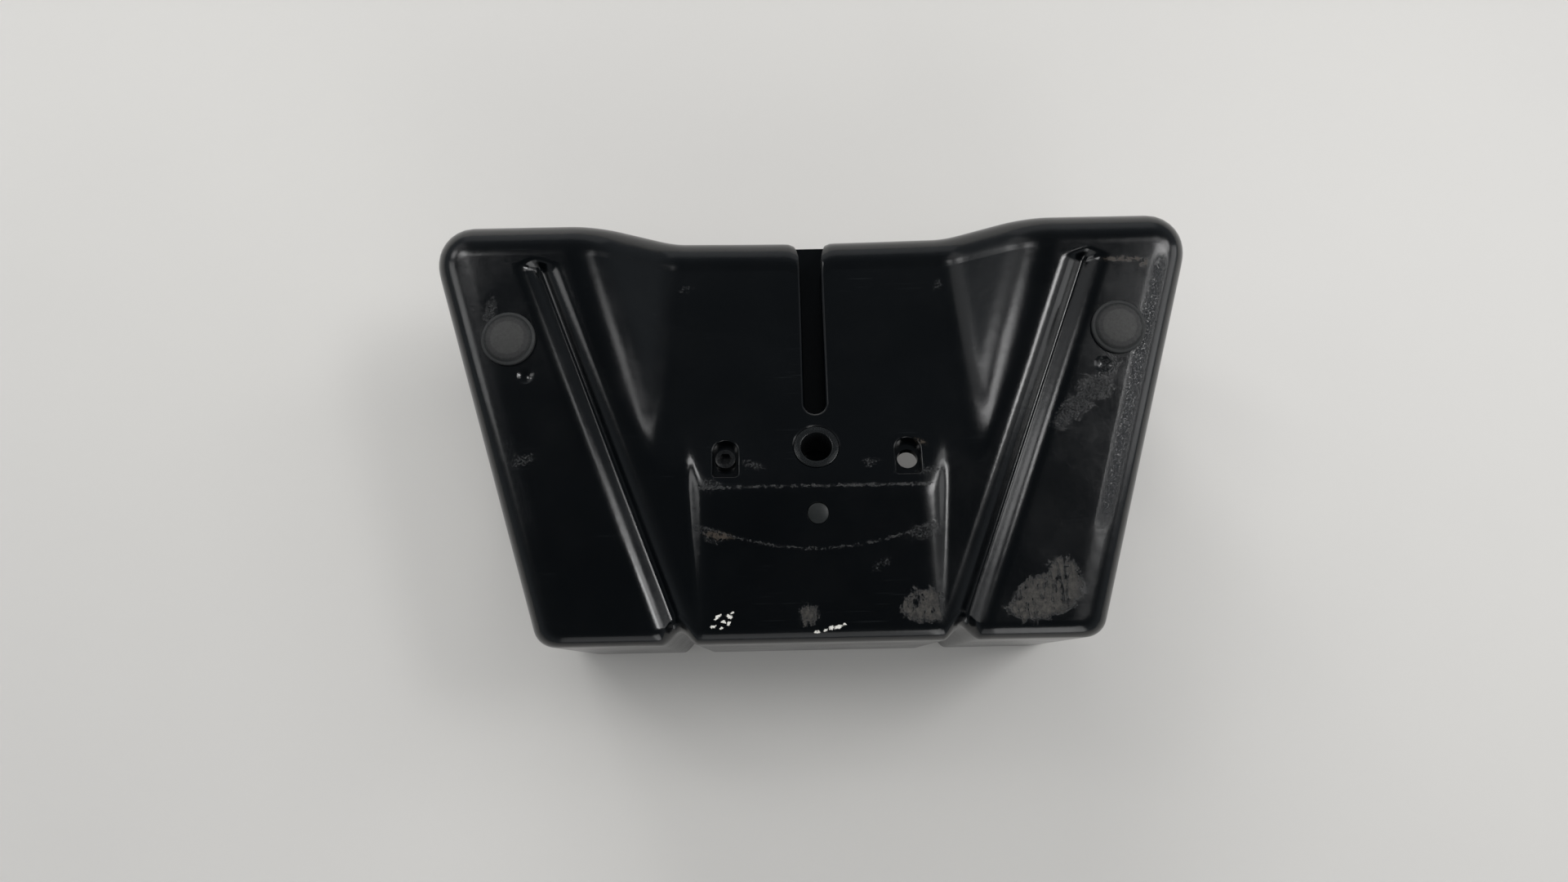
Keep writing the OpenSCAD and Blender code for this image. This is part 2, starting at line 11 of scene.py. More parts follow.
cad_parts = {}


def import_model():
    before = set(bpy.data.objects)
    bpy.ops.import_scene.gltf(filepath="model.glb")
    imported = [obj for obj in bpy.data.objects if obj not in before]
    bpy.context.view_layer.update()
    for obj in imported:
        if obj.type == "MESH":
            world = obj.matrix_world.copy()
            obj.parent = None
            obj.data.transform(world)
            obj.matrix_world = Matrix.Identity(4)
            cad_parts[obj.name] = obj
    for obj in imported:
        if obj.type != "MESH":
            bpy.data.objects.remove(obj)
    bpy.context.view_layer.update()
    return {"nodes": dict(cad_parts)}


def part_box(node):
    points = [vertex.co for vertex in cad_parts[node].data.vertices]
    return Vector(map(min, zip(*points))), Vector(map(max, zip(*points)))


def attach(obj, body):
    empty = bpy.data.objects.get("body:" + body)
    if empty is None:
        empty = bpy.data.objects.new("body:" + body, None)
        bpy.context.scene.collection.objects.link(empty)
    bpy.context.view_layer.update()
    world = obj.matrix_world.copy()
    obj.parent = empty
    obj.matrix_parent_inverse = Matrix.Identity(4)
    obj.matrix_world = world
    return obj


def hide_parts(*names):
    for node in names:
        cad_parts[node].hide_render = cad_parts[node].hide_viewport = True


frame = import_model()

MM = 0.001
SIDES = {"left": -1, "right": 1}

# ---------------------------------------------------------------- shell sizes, millimetres
SHELL_LEN = 158.4
SHELL_MID_W = 239.9
SIDE_LEAN = math.radians(15.9)
FACE_Z = 95.8
WALL = 3.0
DRAFT = math.radians(2)
TOP_ROUND = 15.0
SIDE_ROUND = 9.0
CROWN_W = 5.0
CROWN_BLEND = 2.5
CROWN_SLOPE = math.tan(math.radians(5.5))
BOTTOM_ROUND = 6.0
CORNER_ROUND = 3.0
RIM_Z = 52.0
SEAT_SLOPE = 0.28
SEAT_START_Y = -11.0
SEAT_W = 114.4
SEAT_FLARE = 0.31
SEAT_TAPER = 0.06
BLOCK_RISE = 3.2
BLOCK_FALL = 0.06
BLOCK_W = 89.4
BLOCK_TAPER = 0.068
BLOCK_SIDE = 5.4
BLOCK_BULGE = 0.35
GROOVE_DEPTH = 3.9
GROOVE_GAP = 152.4
GROOVE_LEAN = math.radians(20.8)
GROOVE_END_Y = 59.5
GROOVE_BLEND = 3.5
NOTCH_DEPTH = 4.6
NOTCH_HALF = 6.5
NOTCH_REACH = 12.0
MOUTH_HALF = 9.0
MOUTH_DEPTH = 4.4
MOUTH_REACH = 15.0
TOP_BOW = 1.0
TOP_BOW_HALF = 80.0
MOUTH_CLEAR = 2.5
MOUTH_START_Y = 20.0
LEAST_DROP = 1.0
SLOT_W = 7.4
MOUTH_FLARE = 3.0
SLOT_END_Y = 8.5
SLOT_FLOOR_Z = 60.0
SLOT_SILL_Z = 65.0
SLOT_LIP = 1.6
TROUGH_WALL = 2.5
BUSH_Y = -8.0
BUSH_D = 13.4
BUSH_LEN = 15.0
BUSH_DROP = 0.3
FLANGE_D = 15.8
FLANGE_T = 1.2
HOLE_GAP = 64.0
HOLE_Y = -11.8
HOLE_D = 7.2
STUD_HOLE_D = 5.3
POCKET_W = 8.8
POCKET_LEN = 13.8
POCKET_DEPTH = 3.4
POCKET_FLOOR = 2.6
POCKET_CORNER = 1.2
POCKET_LIP = 0.7
PLUG_Y = -32.0
PLUG_SEAT_R = 3.7
PLUG_SEAT_DEPTH = 1.2
PLUG_HOLE_R = 2.4
PLUG_PAD_R = 5.6
STEM_HOLE_R = 3.1
CLIP_PAD_T = 2.3
DIMPLE_D = 6.3
DIMPLE_DEPTH = 0.95
DIMPLE_IN = 6.3
DIMPLE_DOWN = 13.3
CAGE_R = 37.0
CAGE_WALL = 2.5
CAGE_X = 76.0
CAGE_FOOT_GAP = 18.7
CAGE_TOP_GAP = 12.7
CUP_LEN = 40.0
HOOP_W = 36.0
SPINE_W = 26.0
SPINE_RELIEF = 0.8
DRAIN_D = 12.0
CUP_FOOT_ROUND = 3.0
CAGE_LIP = 1.1
SCREW_STARTS = (28.0, 92.0)
SCREW_D = 5.0
HEAD_SEAT_D = 9.6
BOSS_D = 12.0
INSERT_D = 7.0
INSERT_LEN = 5.0
SCREW_GAP = 0.15  # play round a cage screw
PRESS_GAP = 0.02  # play round what is pressed into the shell
SKIN_GAP = 1.2  # how far what is joined to the shell stops below its outer skin
BOSS_SINK = 0.8
WASHER_SEAT_R = 40.0
PAD_Z = 81.0

TOP_Y = SHELL_LEN / 2
BOTTOM_Y = -SHELL_LEN / 2 + (FACE_Z - BOTTOM_ROUND) * math.tan(DRAFT)
FLAT_TOP_Y = TOP_Y - TOP_ROUND
FLAT_BOTTOM_Y = BOTTOM_Y + BOTTOM_ROUND
TOP_CORNER_Y = FLAT_TOP_Y - CORNER_ROUND
BOTTOM_CORNER_Y = FLAT_BOTTOM_Y + CORNER_ROUND
LEAN_SLOPE = math.tan(SIDE_LEAN)
GROOVE_SLOPE = math.tan(GROOVE_LEAN)
BLOCK_Z = FACE_Z + BLOCK_RISE
CREST_Y = SEAT_START_Y - BLOCK_RISE / SEAT_SLOPE
BLOCK_SIDE_SLOPE = BLOCK_RISE / BLOCK_SIDE
SEAT_WALL_SLOPE = SEAT_SLOPE / (SEAT_FLARE + SEAT_TAPER)
SEAT_TILT = math.atan(SEAT_SLOPE)
CAGE_OUT_R = CAGE_R + CAGE_WALL
CAGE_FOOT_Y = CAGE_FOOT_GAP - SHELL_LEN / 2
CAGE_LEN = (SHELL_LEN - CAGE_FOOT_GAP - CAGE_TOP_GAP) / math.cos(SIDE_LEAN)

# radii of the soft corners between the faces of the back
BLOCK_EDGE_BLEND = 2.2
BLOCK_FOOT_BLEND = 1.2
SEAT_FOOT_BLEND = 4.0
RIM_BLEND = 1.6
RIM_BLEND_GAIN = 5.4
RIM_BLEND_REACH = 50.0
GROOVE_SOFTNESS = 1.4


# ---------------------------------------------------------------- shape of the back face
def ease(t):
    c = np.clip(t, 0, 1)
    return c * c * (3 - 2 * c)


def hump(t):
    return (1 + np.cos(np.pi * np.clip(t, -1, 1))) / 2


def soft_min(a, b, k):
    return np.minimum(a, b) - np.maximum(k - np.abs(a - b), 0) ** 2 / (4 * k)


def soft_max(a, b, k):
    return -soft_min(-a, -b, k)


def edge_x(y):
    return SHELL_MID_W / 2 + LEAN_SLOPE * y


def groove_x(y):
    return GROOVE_GAP / 2 + GROOVE_SLOPE * y


def seat_z(y):
    return FACE_Z - SEAT_SLOPE * (y - SEAT_START_Y)


def seat_edge_x(y):
    return SEAT_W / 2 + SEAT_FLARE * (y - SEAT_START_Y)


def seat_foot_x(y):
    return SEAT_W / 2 - SEAT_TAPER * (y - SEAT_START_Y)


def block_top_z(y):
    return BLOCK_Z + BLOCK_FALL * np.minimum(0, y - CREST_Y)


def block_foot_x(y):
    return BLOCK_W / 2 + BLOCK_TAPER * np.minimum(0, y - CREST_Y)


def back_z(x, y):
    """Height of the back face: land, dished seat, raised block, the two grooves and crowned sides."""
    across = np.abs(x)
    wall = FACE_Z - SEAT_WALL_SLOPE * (seat_edge_x(y) - across)
    up_side = np.clip((block_foot_x(y) - across) / BLOCK_SIDE, 0, 1)
    bulge = BLOCK_BULGE * BLOCK_RISE * up_side * (1 - up_side)
    block_side = FACE_Z + (block_foot_x(y) - across) * BLOCK_SIDE_SLOPE + bulge
    block = soft_min(block_top_z(y), block_side, BLOCK_EDGE_BLEND)
    land = soft_max(FACE_Z, block, BLOCK_FOOT_BLEND)
    rim_blend = RIM_BLEND + RIM_BLEND_GAIN * ease((y - CREST_Y) / RIM_BLEND_REACH)
    dished = soft_min(soft_max(seat_z(y), wall, SEAT_FOOT_BLEND), land, rim_blend)
    off = (across - groove_x(y)) * math.cos(GROOVE_LEAN)
    fade = (GROOVE_DEPTH + GROOVE_BLEND) * ease((y - GROOVE_END_Y) / (FLAT_TOP_Y - GROOVE_END_Y))
    vee = np.sqrt(off * off + GROOVE_SOFTNESS) - math.sqrt(GROOVE_SOFTNESS)
    groove = FACE_Z - GROOVE_DEPTH + fade + vee
    room = (edge_x(y) - across) * math.cos(SIDE_LEAN) - SIDE_ROUND
    over = np.maximum(0, CROWN_W - room)
    bend = np.minimum(over, CROWN_BLEND)
    crown = CROWN_SLOPE * (bend ** 2 / (2 * CROWN_BLEND) + over - bend)
    return soft_min(dished, groove, GROOVE_BLEND) - crown


def plan_shift(x, y):
    """Notches at the foot, the slot's mouth and the bow of the top edge move plan points along Y."""
    notch = NOTCH_DEPTH * hump((np.abs(x) - groove_x(FLAT_BOTTOM_Y) + 1) / NOTCH_HALF)
    notch = notch * (1 - ease((y - FLAT_BOTTOM_Y) / NOTCH_REACH))
    mouth = MOUTH_DEPTH * hump(x / MOUTH_HALF) + TOP_BOW * (1 - ease(np.abs(x) / TOP_BOW_HALF))
    return notch - mouth * ease((y - FLAT_TOP_Y + MOUTH_REACH) / MOUTH_REACH)


def bottle_top_z(x, y):
    """Height that a bottle on its way into a cage needs at (x, y)."""
    off = (np.abs(x) - CAGE_X - LEAN_SLOPE * y) * math.cos(SIDE_LEAN)
    r = CAGE_R + MOUTH_CLEAR
    return CAGE_OUT_R + np.sqrt(np.maximum(0, r * r - off * off))


def rim_height(y):
    low = RIM_Z * ease((y - BOTTOM_CORNER_Y) / -BOTTOM_CORNER_Y)
    rise = (FACE_Z - TOP_ROUND - RIM_Z) * ease((y - MOUTH_START_Y) / (TOP_CORNER_Y - MOUTH_START_Y))
    return low + rise


# ---------------------------------------------------------------- grid that carries the back face
COLUMN_STEPS = (22, 10, 16, 10, 14, 14, 22)  # columns between neighbouring feature lines
ROW_STEP = 1.15  # spacing of the straight rows
CORNER_STEPS = 10
OUTER_TURNS = 14
INNER_TURNS = 5
INNER_STEP = 2
GROOVE_BAND = 5.6  # half width of the columns gathered at a groove
LOW_LAND_GAP = 4.9  # between that groove and the land's columns at the foot
FOOT_CHAMFER = 0.45


def half_row(y, half_w):
    """Places of the columns from the centre line out, gathered where the face bends."""
    low_land_x = groove_x(FLAT_BOTTOM_Y) - LOW_LAND_GAP
    if y < SEAT_START_Y:
        reach = (y - FLAT_BOTTOM_Y) / (SEAT_START_Y - FLAT_BOTTOM_Y)
        land = low_land_x + (SEAT_W / 2 + 1 - low_land_x) * reach
    else:
        land = seat_edge_x(y) + 1
    rise = max(0, min(seat_z(y), block_top_z(y)) - FACE_Z)
    top = block_foot_x(y) - 0.8 - rise / BLOCK_SIDE_SLOPE
    if y < SEAT_START_Y + 3:
        foot = np.interp(
            y,
            [FLAT_BOTTOM_Y, CREST_Y, CREST_Y + 9, SEAT_START_Y + 3],
            [block_foot_x(FLAT_BOTTOM_Y), BLOCK_W / 2, BLOCK_W / 2 + 0.5, SEAT_W / 2 - 1],
        )
    else:
        foot = seat_foot_x(y)
    shoulder = groove_x(y) - GROOVE_BAND + 2.6 * ease((-50 - y) / 20)
    stops = [0, top, foot, land, shoulder, groove_x(y), groove_x(y) + GROOVE_BAND, half_w]
    xs = [np.linspace(a, b, n, endpoint=False) for a, b, n in zip(stops, stops[1:], COLUMN_STEPS)]
    return np.concatenate([*xs, [half_w]])


def grid_rows():
    """Rows of the grid as (y, half width, direction of the outline's outward normal)."""
    def corner_x(y):
        return edge_x(y) - (SIDE_ROUND + CORNER_ROUND) / math.cos(SIDE_LEAN)

    rows = []
    for k in range(CORNER_STEPS + 1):
        a = -math.pi / 2 + (math.pi / 2 - SIDE_LEAN) * k / CORNER_STEPS
        x = corner_x(BOTTOM_CORNER_Y) + CORNER_ROUND * math.cos(a)
        rows.append((BOTTOM_CORNER_Y + CORNER_ROUND * math.sin(a), x, a))
    start = rows[-1][0]
    end = TOP_CORNER_Y - CORNER_ROUND * math.sin(SIDE_LEAN)
    count = 2 * round((end - start) / ROW_STEP / 2)
    for y in np.linspace(start, end, count + 1)[1:]:
        rows.append((y, edge_x(y) - SIDE_ROUND / math.cos(SIDE_LEAN), -SIDE_LEAN))
    for k in range(1, CORNER_STEPS + 1):
        a = -SIDE_LEAN + (math.pi / 2 + SIDE_LEAN) * k / CORNER_STEPS
        x = corner_x(TOP_CORNER_Y) + CORNER_ROUND * math.cos(a)
        rows.append((TOP_CORNER_Y + CORNER_ROUND * math.sin(a), x, a))
    return rows


def edge_radius(turn):
    past = turn + SIDE_LEAN
    up = SIDE_ROUND + (TOP_ROUND - SIDE_ROUND) * ease(past / (math.pi / 2 + SIDE_LEAN))
    down = SIDE_ROUND + (BOTTOM_ROUND - SIDE_ROUND) * ease(-past / (math.pi / 2 - SIDE_LEAN))
    return np.where(past > 0, up, down)


def outline_loop(rows, cols):
    """Outline of the grid, anticlockwise from the lower left: places, normals and edge radii."""
    last = len(rows) - 1
    ij = [(i, 0) for i in range(cols)] + [(cols - 1, j) for j in range(1, last + 1)]
    turn = [-math.pi / 2] * cols + [rows[j][2] for j in range(1, last + 1)]
    ij += [(i, last) for i in range(cols - 2, -1, -1)] + [(0, j) for j in range(last - 1, 0, -1)]
    turn += [math.pi / 2] * (cols - 1) + [math.pi - rows[j][2] for j in range(last - 1, 0, -1)]
    side_turn = np.array([t if t <= math.pi / 2 else math.pi - t for t in turn])
    return ij, np.array(turn), side_turn, edge_radius(side_turn)


def skin(plan, loop, step, inset, turns, chamfer):
    """Points of one skin: the face, the rounded edge and the wall; inset moves it inwards.

    On the sides the rounding starts at the slope of the crowned face, called lead.
    """
    ij, turn, side_turn, radius = loop
    grid = plan[::step, ::step].reshape(-1, 2)
    grid = np.column_stack([grid, back_z(grid[:, 0], grid[:, 1]) - inset])
    p = np.array([plan[j, i] for i, j in ij[::step]])
    out_dir = np.column_stack([np.cos(turn[::step]), np.sin(turn[::step])])
    edge_z = back_z(p[:, 0], p[:, 1])
    lead = np.arctan(CROWN_SLOPE * np.maximum(0, np.cos(side_turn[::step] + SIDE_LEAN)) ** 2)
    full_r = radius[::step] / (1 - np.sin(lead))
    axis_z = edge_z - full_r * np.cos(lead)
    room = bottle_top_z(p[:, 0], p[:, 1]) - axis_z
    end = np.where(room > 0, np.arccos(np.clip(room / full_r, 0, 1)), math.pi / 2)
    r, start = full_r - inset, full_r * np.sin(lead)
    rings = []
    for t in range(1, turns + 1):
        a = lead + (end - lead) * t / turns
        out = r * np.sin(a) - start
        rings.append(np.column_stack([p + out_dir * out[:, None], axis_z + r * np.cos(a)]))
    last_z = axis_z + r * np.cos(end)
    drop = np.maximum(LEAST_DROP, last_z - rim_height(p[:, 1]))
    for fall, pull in ((drop - chamfer, 0), (drop, chamfer)) if chamfer else ((drop, 0),):
        out = r * np.sin(end) - start + fall * (np.cos(end) + math.tan(DRAFT)) - pull
        rings.append(np.column_stack([p + out_dir * out[:, None], last_z - fall * np.sin(end)]))
    return np.vstack([grid, *rings]), len(rings)


def skin_faces(cols, rows, rings, first, inward):
    ids = np.arange(cols * rows).reshape(rows, cols)
    loop = np.concatenate([ids[0], ids[1:, -1], ids[-1, -2::-1], ids[-2:0:-1, 0]])
    n = len(loop)
    ring_ids = [loop + first] + [first + cols * rows + r * n + np.arange(n) for r in range(rings)]
    quads = [np.stack([ids[:-1, :-1], ids[:-1, 1:], ids[1:, 1:], ids[1:, :-1]], -1).reshape(-1, 4) + first]
    for a, b in zip(ring_ids, ring_ids[1:]):
        quads.append(np.stack([a, b, np.roll(b, -1), np.roll(a, -1)], -1))
    quads = np.vstack(quads)
    return (quads[:, ::-1] if inward else quads), ring_ids[-1]


# ---------------------------------------------------------------- mesh helpers
def new_object(name, mesh):
    made = bpy.data.objects.new(name, mesh)
    bpy.context.scene.collection.objects.link(made)
    return made


def mesh_from(name, points_mm, faces):
    mesh = bpy.data.meshes.new(name)
    mesh.from_pydata((np.asarray(points_mm) * MM).tolist(), [], [list(map(int, f)) for f in faces])
    mesh.validate()
    return mesh


def bake(obj):
    """Turns the object's modifiers into plain mesh."""
    evaluated = obj.evaluated_get(bpy.context.evaluated_depsgraph_get())
    mesh = bpy.data.meshes.new_from_object(evaluated)
    obj.modifiers.clear()
    obj.data = mesh


def carve(obj, tools, operation):
    """Joins the tools to obj, or takes them out of it, one after another."""
    for tool in tools:
        step = obj.modifiers.new("carve", "BOOLEAN")
        step.operation = operation
        step.solver = "MANIFOLD"
        step.object = tool
        bpy.context.view_layer.update()
        bake(obj)
        bpy.data.objects.remove(tool)


def turned(name, profile, place, count):
    """Closed solid turned round its own Z axis from a (radius, height) profile, then placed."""
    bm = bmesh.new()
    rings = []
    for r, z in profile:
        if r < 1e-6:
            rings.append([bm.verts.new((0, 0, z * MM))])
            continue
        turns = [2 * math.pi * k / count for k in range(count)]
        rings.append([bm.verts.new((r * MM * math.cos(a), r * MM * math.sin(a), z * MM)) for a in turns])
    pairs = list(zip(rings, rings[1:]))
    if len(rings[0]) > 1 and len(rings[-1]) > 1:
        pairs.append((rings[-1], rings[0]))
    for lower, upper in pairs:
        for k in range(count):
            n = (k + 1) % count
            corners = [lower[k % len(lower)], lower[n % len(lower)]]
            corners += [upper[n % len(upper)], upper[k % len(upper)]]
            unique = [v for i, v in enumerate(corners) if v not in corners[:i]]
            if len(unique) > 2:
                bm.faces.new(unique)
    bmesh.ops.recalc_face_normals(bm, faces=bm.faces)
    bmesh.ops.transform(bm, matrix=place, verts=bm.verts)
    mesh = bpy.data.meshes.new(name)
    bm.to_mesh(mesh)
    bm.free()
    return new_object(name, mesh)


def rod(name, radius, low, high, place, count=48):
    """Plain round solid between two heights of its own Z axis."""
    return turned(name, [(0, low), (radius, low), (radius, high), (0, high)], place, count)


def layered(name, rings):
    """Closed solid through rings of equal length, from the lowest to the highest."""
    n = len(rings[0])
    points = np.vstack(rings)
    faces = [list(range(n))[::-1], [(len(rings) - 1) * n + k for k in range(n)]]
    for r in range(len(rings) - 1):
        for k in range(n):
            m = (k + 1) % n
            faces.append([r * n + k, r * n + m, (r + 1) * n + m, (r + 1) * n + k])
    return new_object(name, mesh_from(name, points, faces))


def smooth(obj, sharp_degrees):
    mesh = obj.data
    mesh.polygons.foreach_set("use_smooth", [True] * len(mesh.polygons))
    mesh.set_sharp_from_angle(angle=math.radians(sharp_degrees))


def finish_piece(obj, material, slot, *nodes):
    """Gives the piece its finish, puts it on the body and lets it stand for its CAD nodes."""
    obj.data.materials.clear()
    obj.data.materials.append(material)
    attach(obj, "root")
    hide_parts(*nodes)


def on_seat(x, y, depth=0.0):
    """Place on the seat at (x, y) with +Z out of it, depth below its surface."""
    move = Matrix.Translation(Vector((x, y, float(seat_z(y)))) * MM)
    return move @ Matrix.Rotation(-SEAT_TILT, 4, "X") @ Matrix.Translation((0, 0, -depth * MM))


def on_block(y):
    """Place on the block's face on the centre line with +Z out of it."""
    move = Matrix.Translation(Vector((0, y, float(block_top_z(y)))) * MM)
    return move @ Matrix.Rotation(math.atan(BLOCK_FALL), 4, "X")


def on_cage(side):
    """Place at a cage's foot with +Z along the cage and +Y towards the shell."""
    foot = Vector((side * (CAGE_X + LEAN_SLOPE * CAGE_FOOT_Y), CAGE_FOOT_Y, CAGE_OUT_R)) * MM
    along = Vector((side * math.sin(SIDE_LEAN), math.cos(SIDE_LEAN), 0))
    up = Vector((0, 0, 1))
    turn = Matrix((up.cross(along), up, along)).transposed().to_4x4()
    return Matrix.Translation(foot) @ turn


def centre_of(node):
    low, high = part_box(node)
    return (low + high) / 2 / MM


# ---------------------------------------------------------------- back shell
def slot_outline(width, count=12):
    """Outline of the slot: round at its closed end, straight, then flared at the mouth."""
    r = width / 2
    turns = np.linspace(math.pi, 2 * math.pi, 2 * count + 1)
    arc = [(r * math.cos(a), SLOT_END_Y + r * math.sin(a)) for a in turns]
    bell_start, bell_len = FLAT_TOP_Y - 3, TOP_Y + 2 - FLAT_TOP_Y
    bell = [(r + MOUTH_FLARE * t * t, bell_start + bell_len * t) for t in np.linspace(0, 1, 7)]
    return np.array(arc + bell + [(-x, y) for x, y in bell[::-1]])


def arched(grow=0.0, count=14):
    """Outline of a screw pocket: square at the foot, round at the top."""
    r = POCKET_W / 2 + grow
    centre = POCKET_LEN / 2 - POCKET_W / 2
    arc = [(r * math.cos(a), centre + r * math.sin(a)) for a in np.linspace(0, math.pi, count + 1)]
    foot = -POCKET_LEN / 2 - grow
    left = []
    for a in np.linspace(0, math.pi / 2, 5):
        left.append((-r + POCKET_CORNER * (1 - math.cos(a)), foot + POCKET_CORNER * (1 - math.sin(a))))
    right = [(-x, y) for x, y in left[::-1]]
    return np.array(arc + left + right)


def slot_cutter():
    """The blind slot, with a rounded lip that follows the back face."""
    inner = slot_outline(SLOT_W)
    rings = [np.column_stack([inner, np.full(len(inner), SLOT_FLOOR_Z)])]
    for a in np.radians([0, 18, 36, 54, 72]):
        ring = slot_outline(SLOT_W + 2 * SLOT_LIP * (1 - math.cos(a)))
        surface = back_z(ring[:, 0], np.minimum(ring[:, 1], FLAT_TOP_Y))
        rings.append(np.column_stack([ring, surface - SLOT_LIP * (1 - math.sin(a))]))
    rings.append(rings[-1] + [0, 0, 30])
    return layered("slot_cutter", rings)


def pocket_cutter(place):
    """Arched pocket on the seat with a small rounded lip."""
    rings = [np.column_stack([arched(), np.full(len(arched()), -POCKET_DEPTH)])]
    for a in np.radians([0, 25, 50, 75]):
        ring = arched(POCKET_LIP * (1 - math.cos(a)))
        rings.append(np.column_stack([ring, np.full(len(ring), -POCKET_LIP * (1 - math.sin(a)))]))
    rings.append(rings[-1] + [0, 0, 8])
    cutter = layered("pocket_cutter", rings)
    cutter.data.transform(place)
    return cutter


def box_tool(name, low, high):
    corners = [(low[0], low[1]), (high[0], low[1]), (high[0], high[1]), (low[0], high[1])]
    return layered(name, [np.column_stack([corners, [z] * 4]) for z in (low[2], high[2])])


def slot_trough():
    """Trough under the slot, stopped just below the outer skin of the rounded top edge."""
    low = SLOT_FLOOR_Z - TROUGH_WALL
    back = SLOT_END_Y - SLOT_W / 2 - TROUGH_WALL - 1
    centre = np.array([FLAT_TOP_Y - TOP_BOW, float(seat_z(FLAT_TOP_Y)) - TOP_ROUND])
    reach = TOP_ROUND - SKIN_GAP
    arc = [centre + reach * np.array([math.cos(a), math.sin(a)]) for a in np.radians(range(0, 91, 10))]
    front = centre[0] + TOP_ROUND - WALL / 2
    side = [(back, low), (front, low), *arc, (back, float(seat_z(back)) - SKIN_GAP)]
    half = SLOT_W / 2 + TROUGH_WALL
    rings = [np.array([(x, y, z) for y, z in side]) for x in (-half, half)]
    return layered("slot_trough", rings)


def shell_mesh():
    rows = grid_rows()
    plan = []
    for y, half_w, _ in rows:
        half = half_row(y, half_w)
        xs = np.concatenate([-half[:0:-1], half])
        plan.append(np.column_stack([xs, y + plan_shift(xs, np.full(len(xs), y))]))
    plan = np.array(plan)
    row_n, col_n = plan.shape[:2]
    loop = outline_loop(rows, col_n)
    outer, outer_rings = skin(plan, loop, 1, 0, OUTER_TURNS, FOOT_CHAMFER)
    inner, inner_rings = skin(plan, loop, INNER_STEP, WALL, INNER_TURNS, 0)
    out_faces, foot_out = skin_faces(col_n, row_n, outer_rings, 0, False)
    cols_in, rows_in = (col_n + 1) // 2, (row_n + 1) // 2
    in_faces, foot_in = skin_faces(cols_in, rows_in, inner_rings, len(outer), True)
    rim = []
    for k in range(len(foot_in)):
        a, b, c = foot_out[2 * k], foot_out[2 * k + 1], foot_out[(2 * k + 2) % len(foot_out)]
        d, e = foot_in[k], foot_in[(k + 1) % len(foot_in)]
        rim += [(a, d, b), (b, d, e), (b, e, c)]
    return mesh_from("back_shell_fine", np.vstack([outer, inner]), [*out_faces, *in_faces, *rim])


def bush_fit():
    """Boss round the bush and the stepped seat in it."""
    deep = BUSH_LEN + BUSH_DROP
    boss_high = BUSH_LEN + WALL - SKIN_GAP
    boss = rod("bush_boss", BUSH_D / 2 + WALL, 0, boss_high, on_seat(0, BUSH_Y, deep + WALL))
    r, flange_r, edge_r = BUSH_D / 2 + PRESS_GAP, FLANGE_D / 2 + 0.1, FLANGE_D / 2 + 0.7
    step, top = BUSH_LEN - FLANGE_T, BUSH_LEN + 8
    profile = [(0, 0), (r, 0), (r, step), (flange_r, step), (flange_r, deep - 0.5)]
    profile += [(edge_r, deep + 0.1), (edge_r, top), (0, top)]
    return [boss], [turned("bush_seat", profile, on_seat(0, BUSH_Y, deep), 64)]


def cage_fastening(place):
    """Bosses over a cage's spine and the holes of their inserts."""
    bosses, holes = [], []
    top = FACE_Z - GROOVE_DEPTH - BOSS_SINK
    for t in SCREW_STARTS:
        at = place @ Matrix.Translation((0, (PAD_Z - CAGE_OUT_R) * MM, t * MM))
        at = at @ Matrix.Rotation(-math.pi / 2, 4, "X")
        bosses.append(rod("screw_boss", BOSS_D / 2, 0, top - PAD_Z, at))
        holes.append(rod("insert_hole", INSERT_D / 2 + PRESS_GAP, -1, INSERT_LEN, at, 32))
    return bosses, holes


def bumper_fit(name, side):
    """Pad for a bumper's clip, the hole of its stem and the shallow dimple beside it."""
    bumper, clip = centre_of(f"{name}_bumper"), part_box(f"{name}_bumper_clip")
    at = Matrix.Translation(Vector((bumper.x, bumper.y, 0)) * MM)
    clip_top = clip[1].z / MM
    clip_r = (clip[1].x - clip[0].x) / MM / 2
    pad = rod("clip_pad", clip_r, clip_top, clip_top + CLIP_PAD_T, at)
    hole = rod("stem_hole", STEM_HOLE_R, FACE_Z - 12, FACE_Z + 5, at, 32)
    r = DIMPLE_D / 2
    dish = [(r * k / 6, -DIMPLE_DEPTH * (1 - (k / 6) ** 2)) for k in range(7)]
    dish += [(r + 0.5, 0.12), (r + 0.5, 4), (0, 4)]
    dimple_at = Vector((side * (abs(bumper.x) - DIMPLE_IN), bumper.y - DIMPLE_DOWN, FACE_Z))
    return [pad], [hole, turned("dimple", dish, Matrix.Translation(dimple_at * MM), 48)]


def plug_fit():
    """Pad behind the plug and its stepped seat in the block's face."""
    at = on_block(PLUG_Y)
    seat, floor_z, edge_r = PLUG_SEAT_R, -PLUG_SEAT_DEPTH, PLUG_SEAT_R + 0.4
    profile = [(0, -8), (PLUG_HOLE_R, -8), (PLUG_HOLE_R, floor_z), (seat, floor_z), (seat, -0.3)]
    profile += [(edge_r, 0.15), (edge_r, 5), (0, 5)]
    return [rod("plug_pad", PLUG_PAD_R, -WALL - 1, -1.5, at)], [turned("plug_seat", profile, at, 40)]


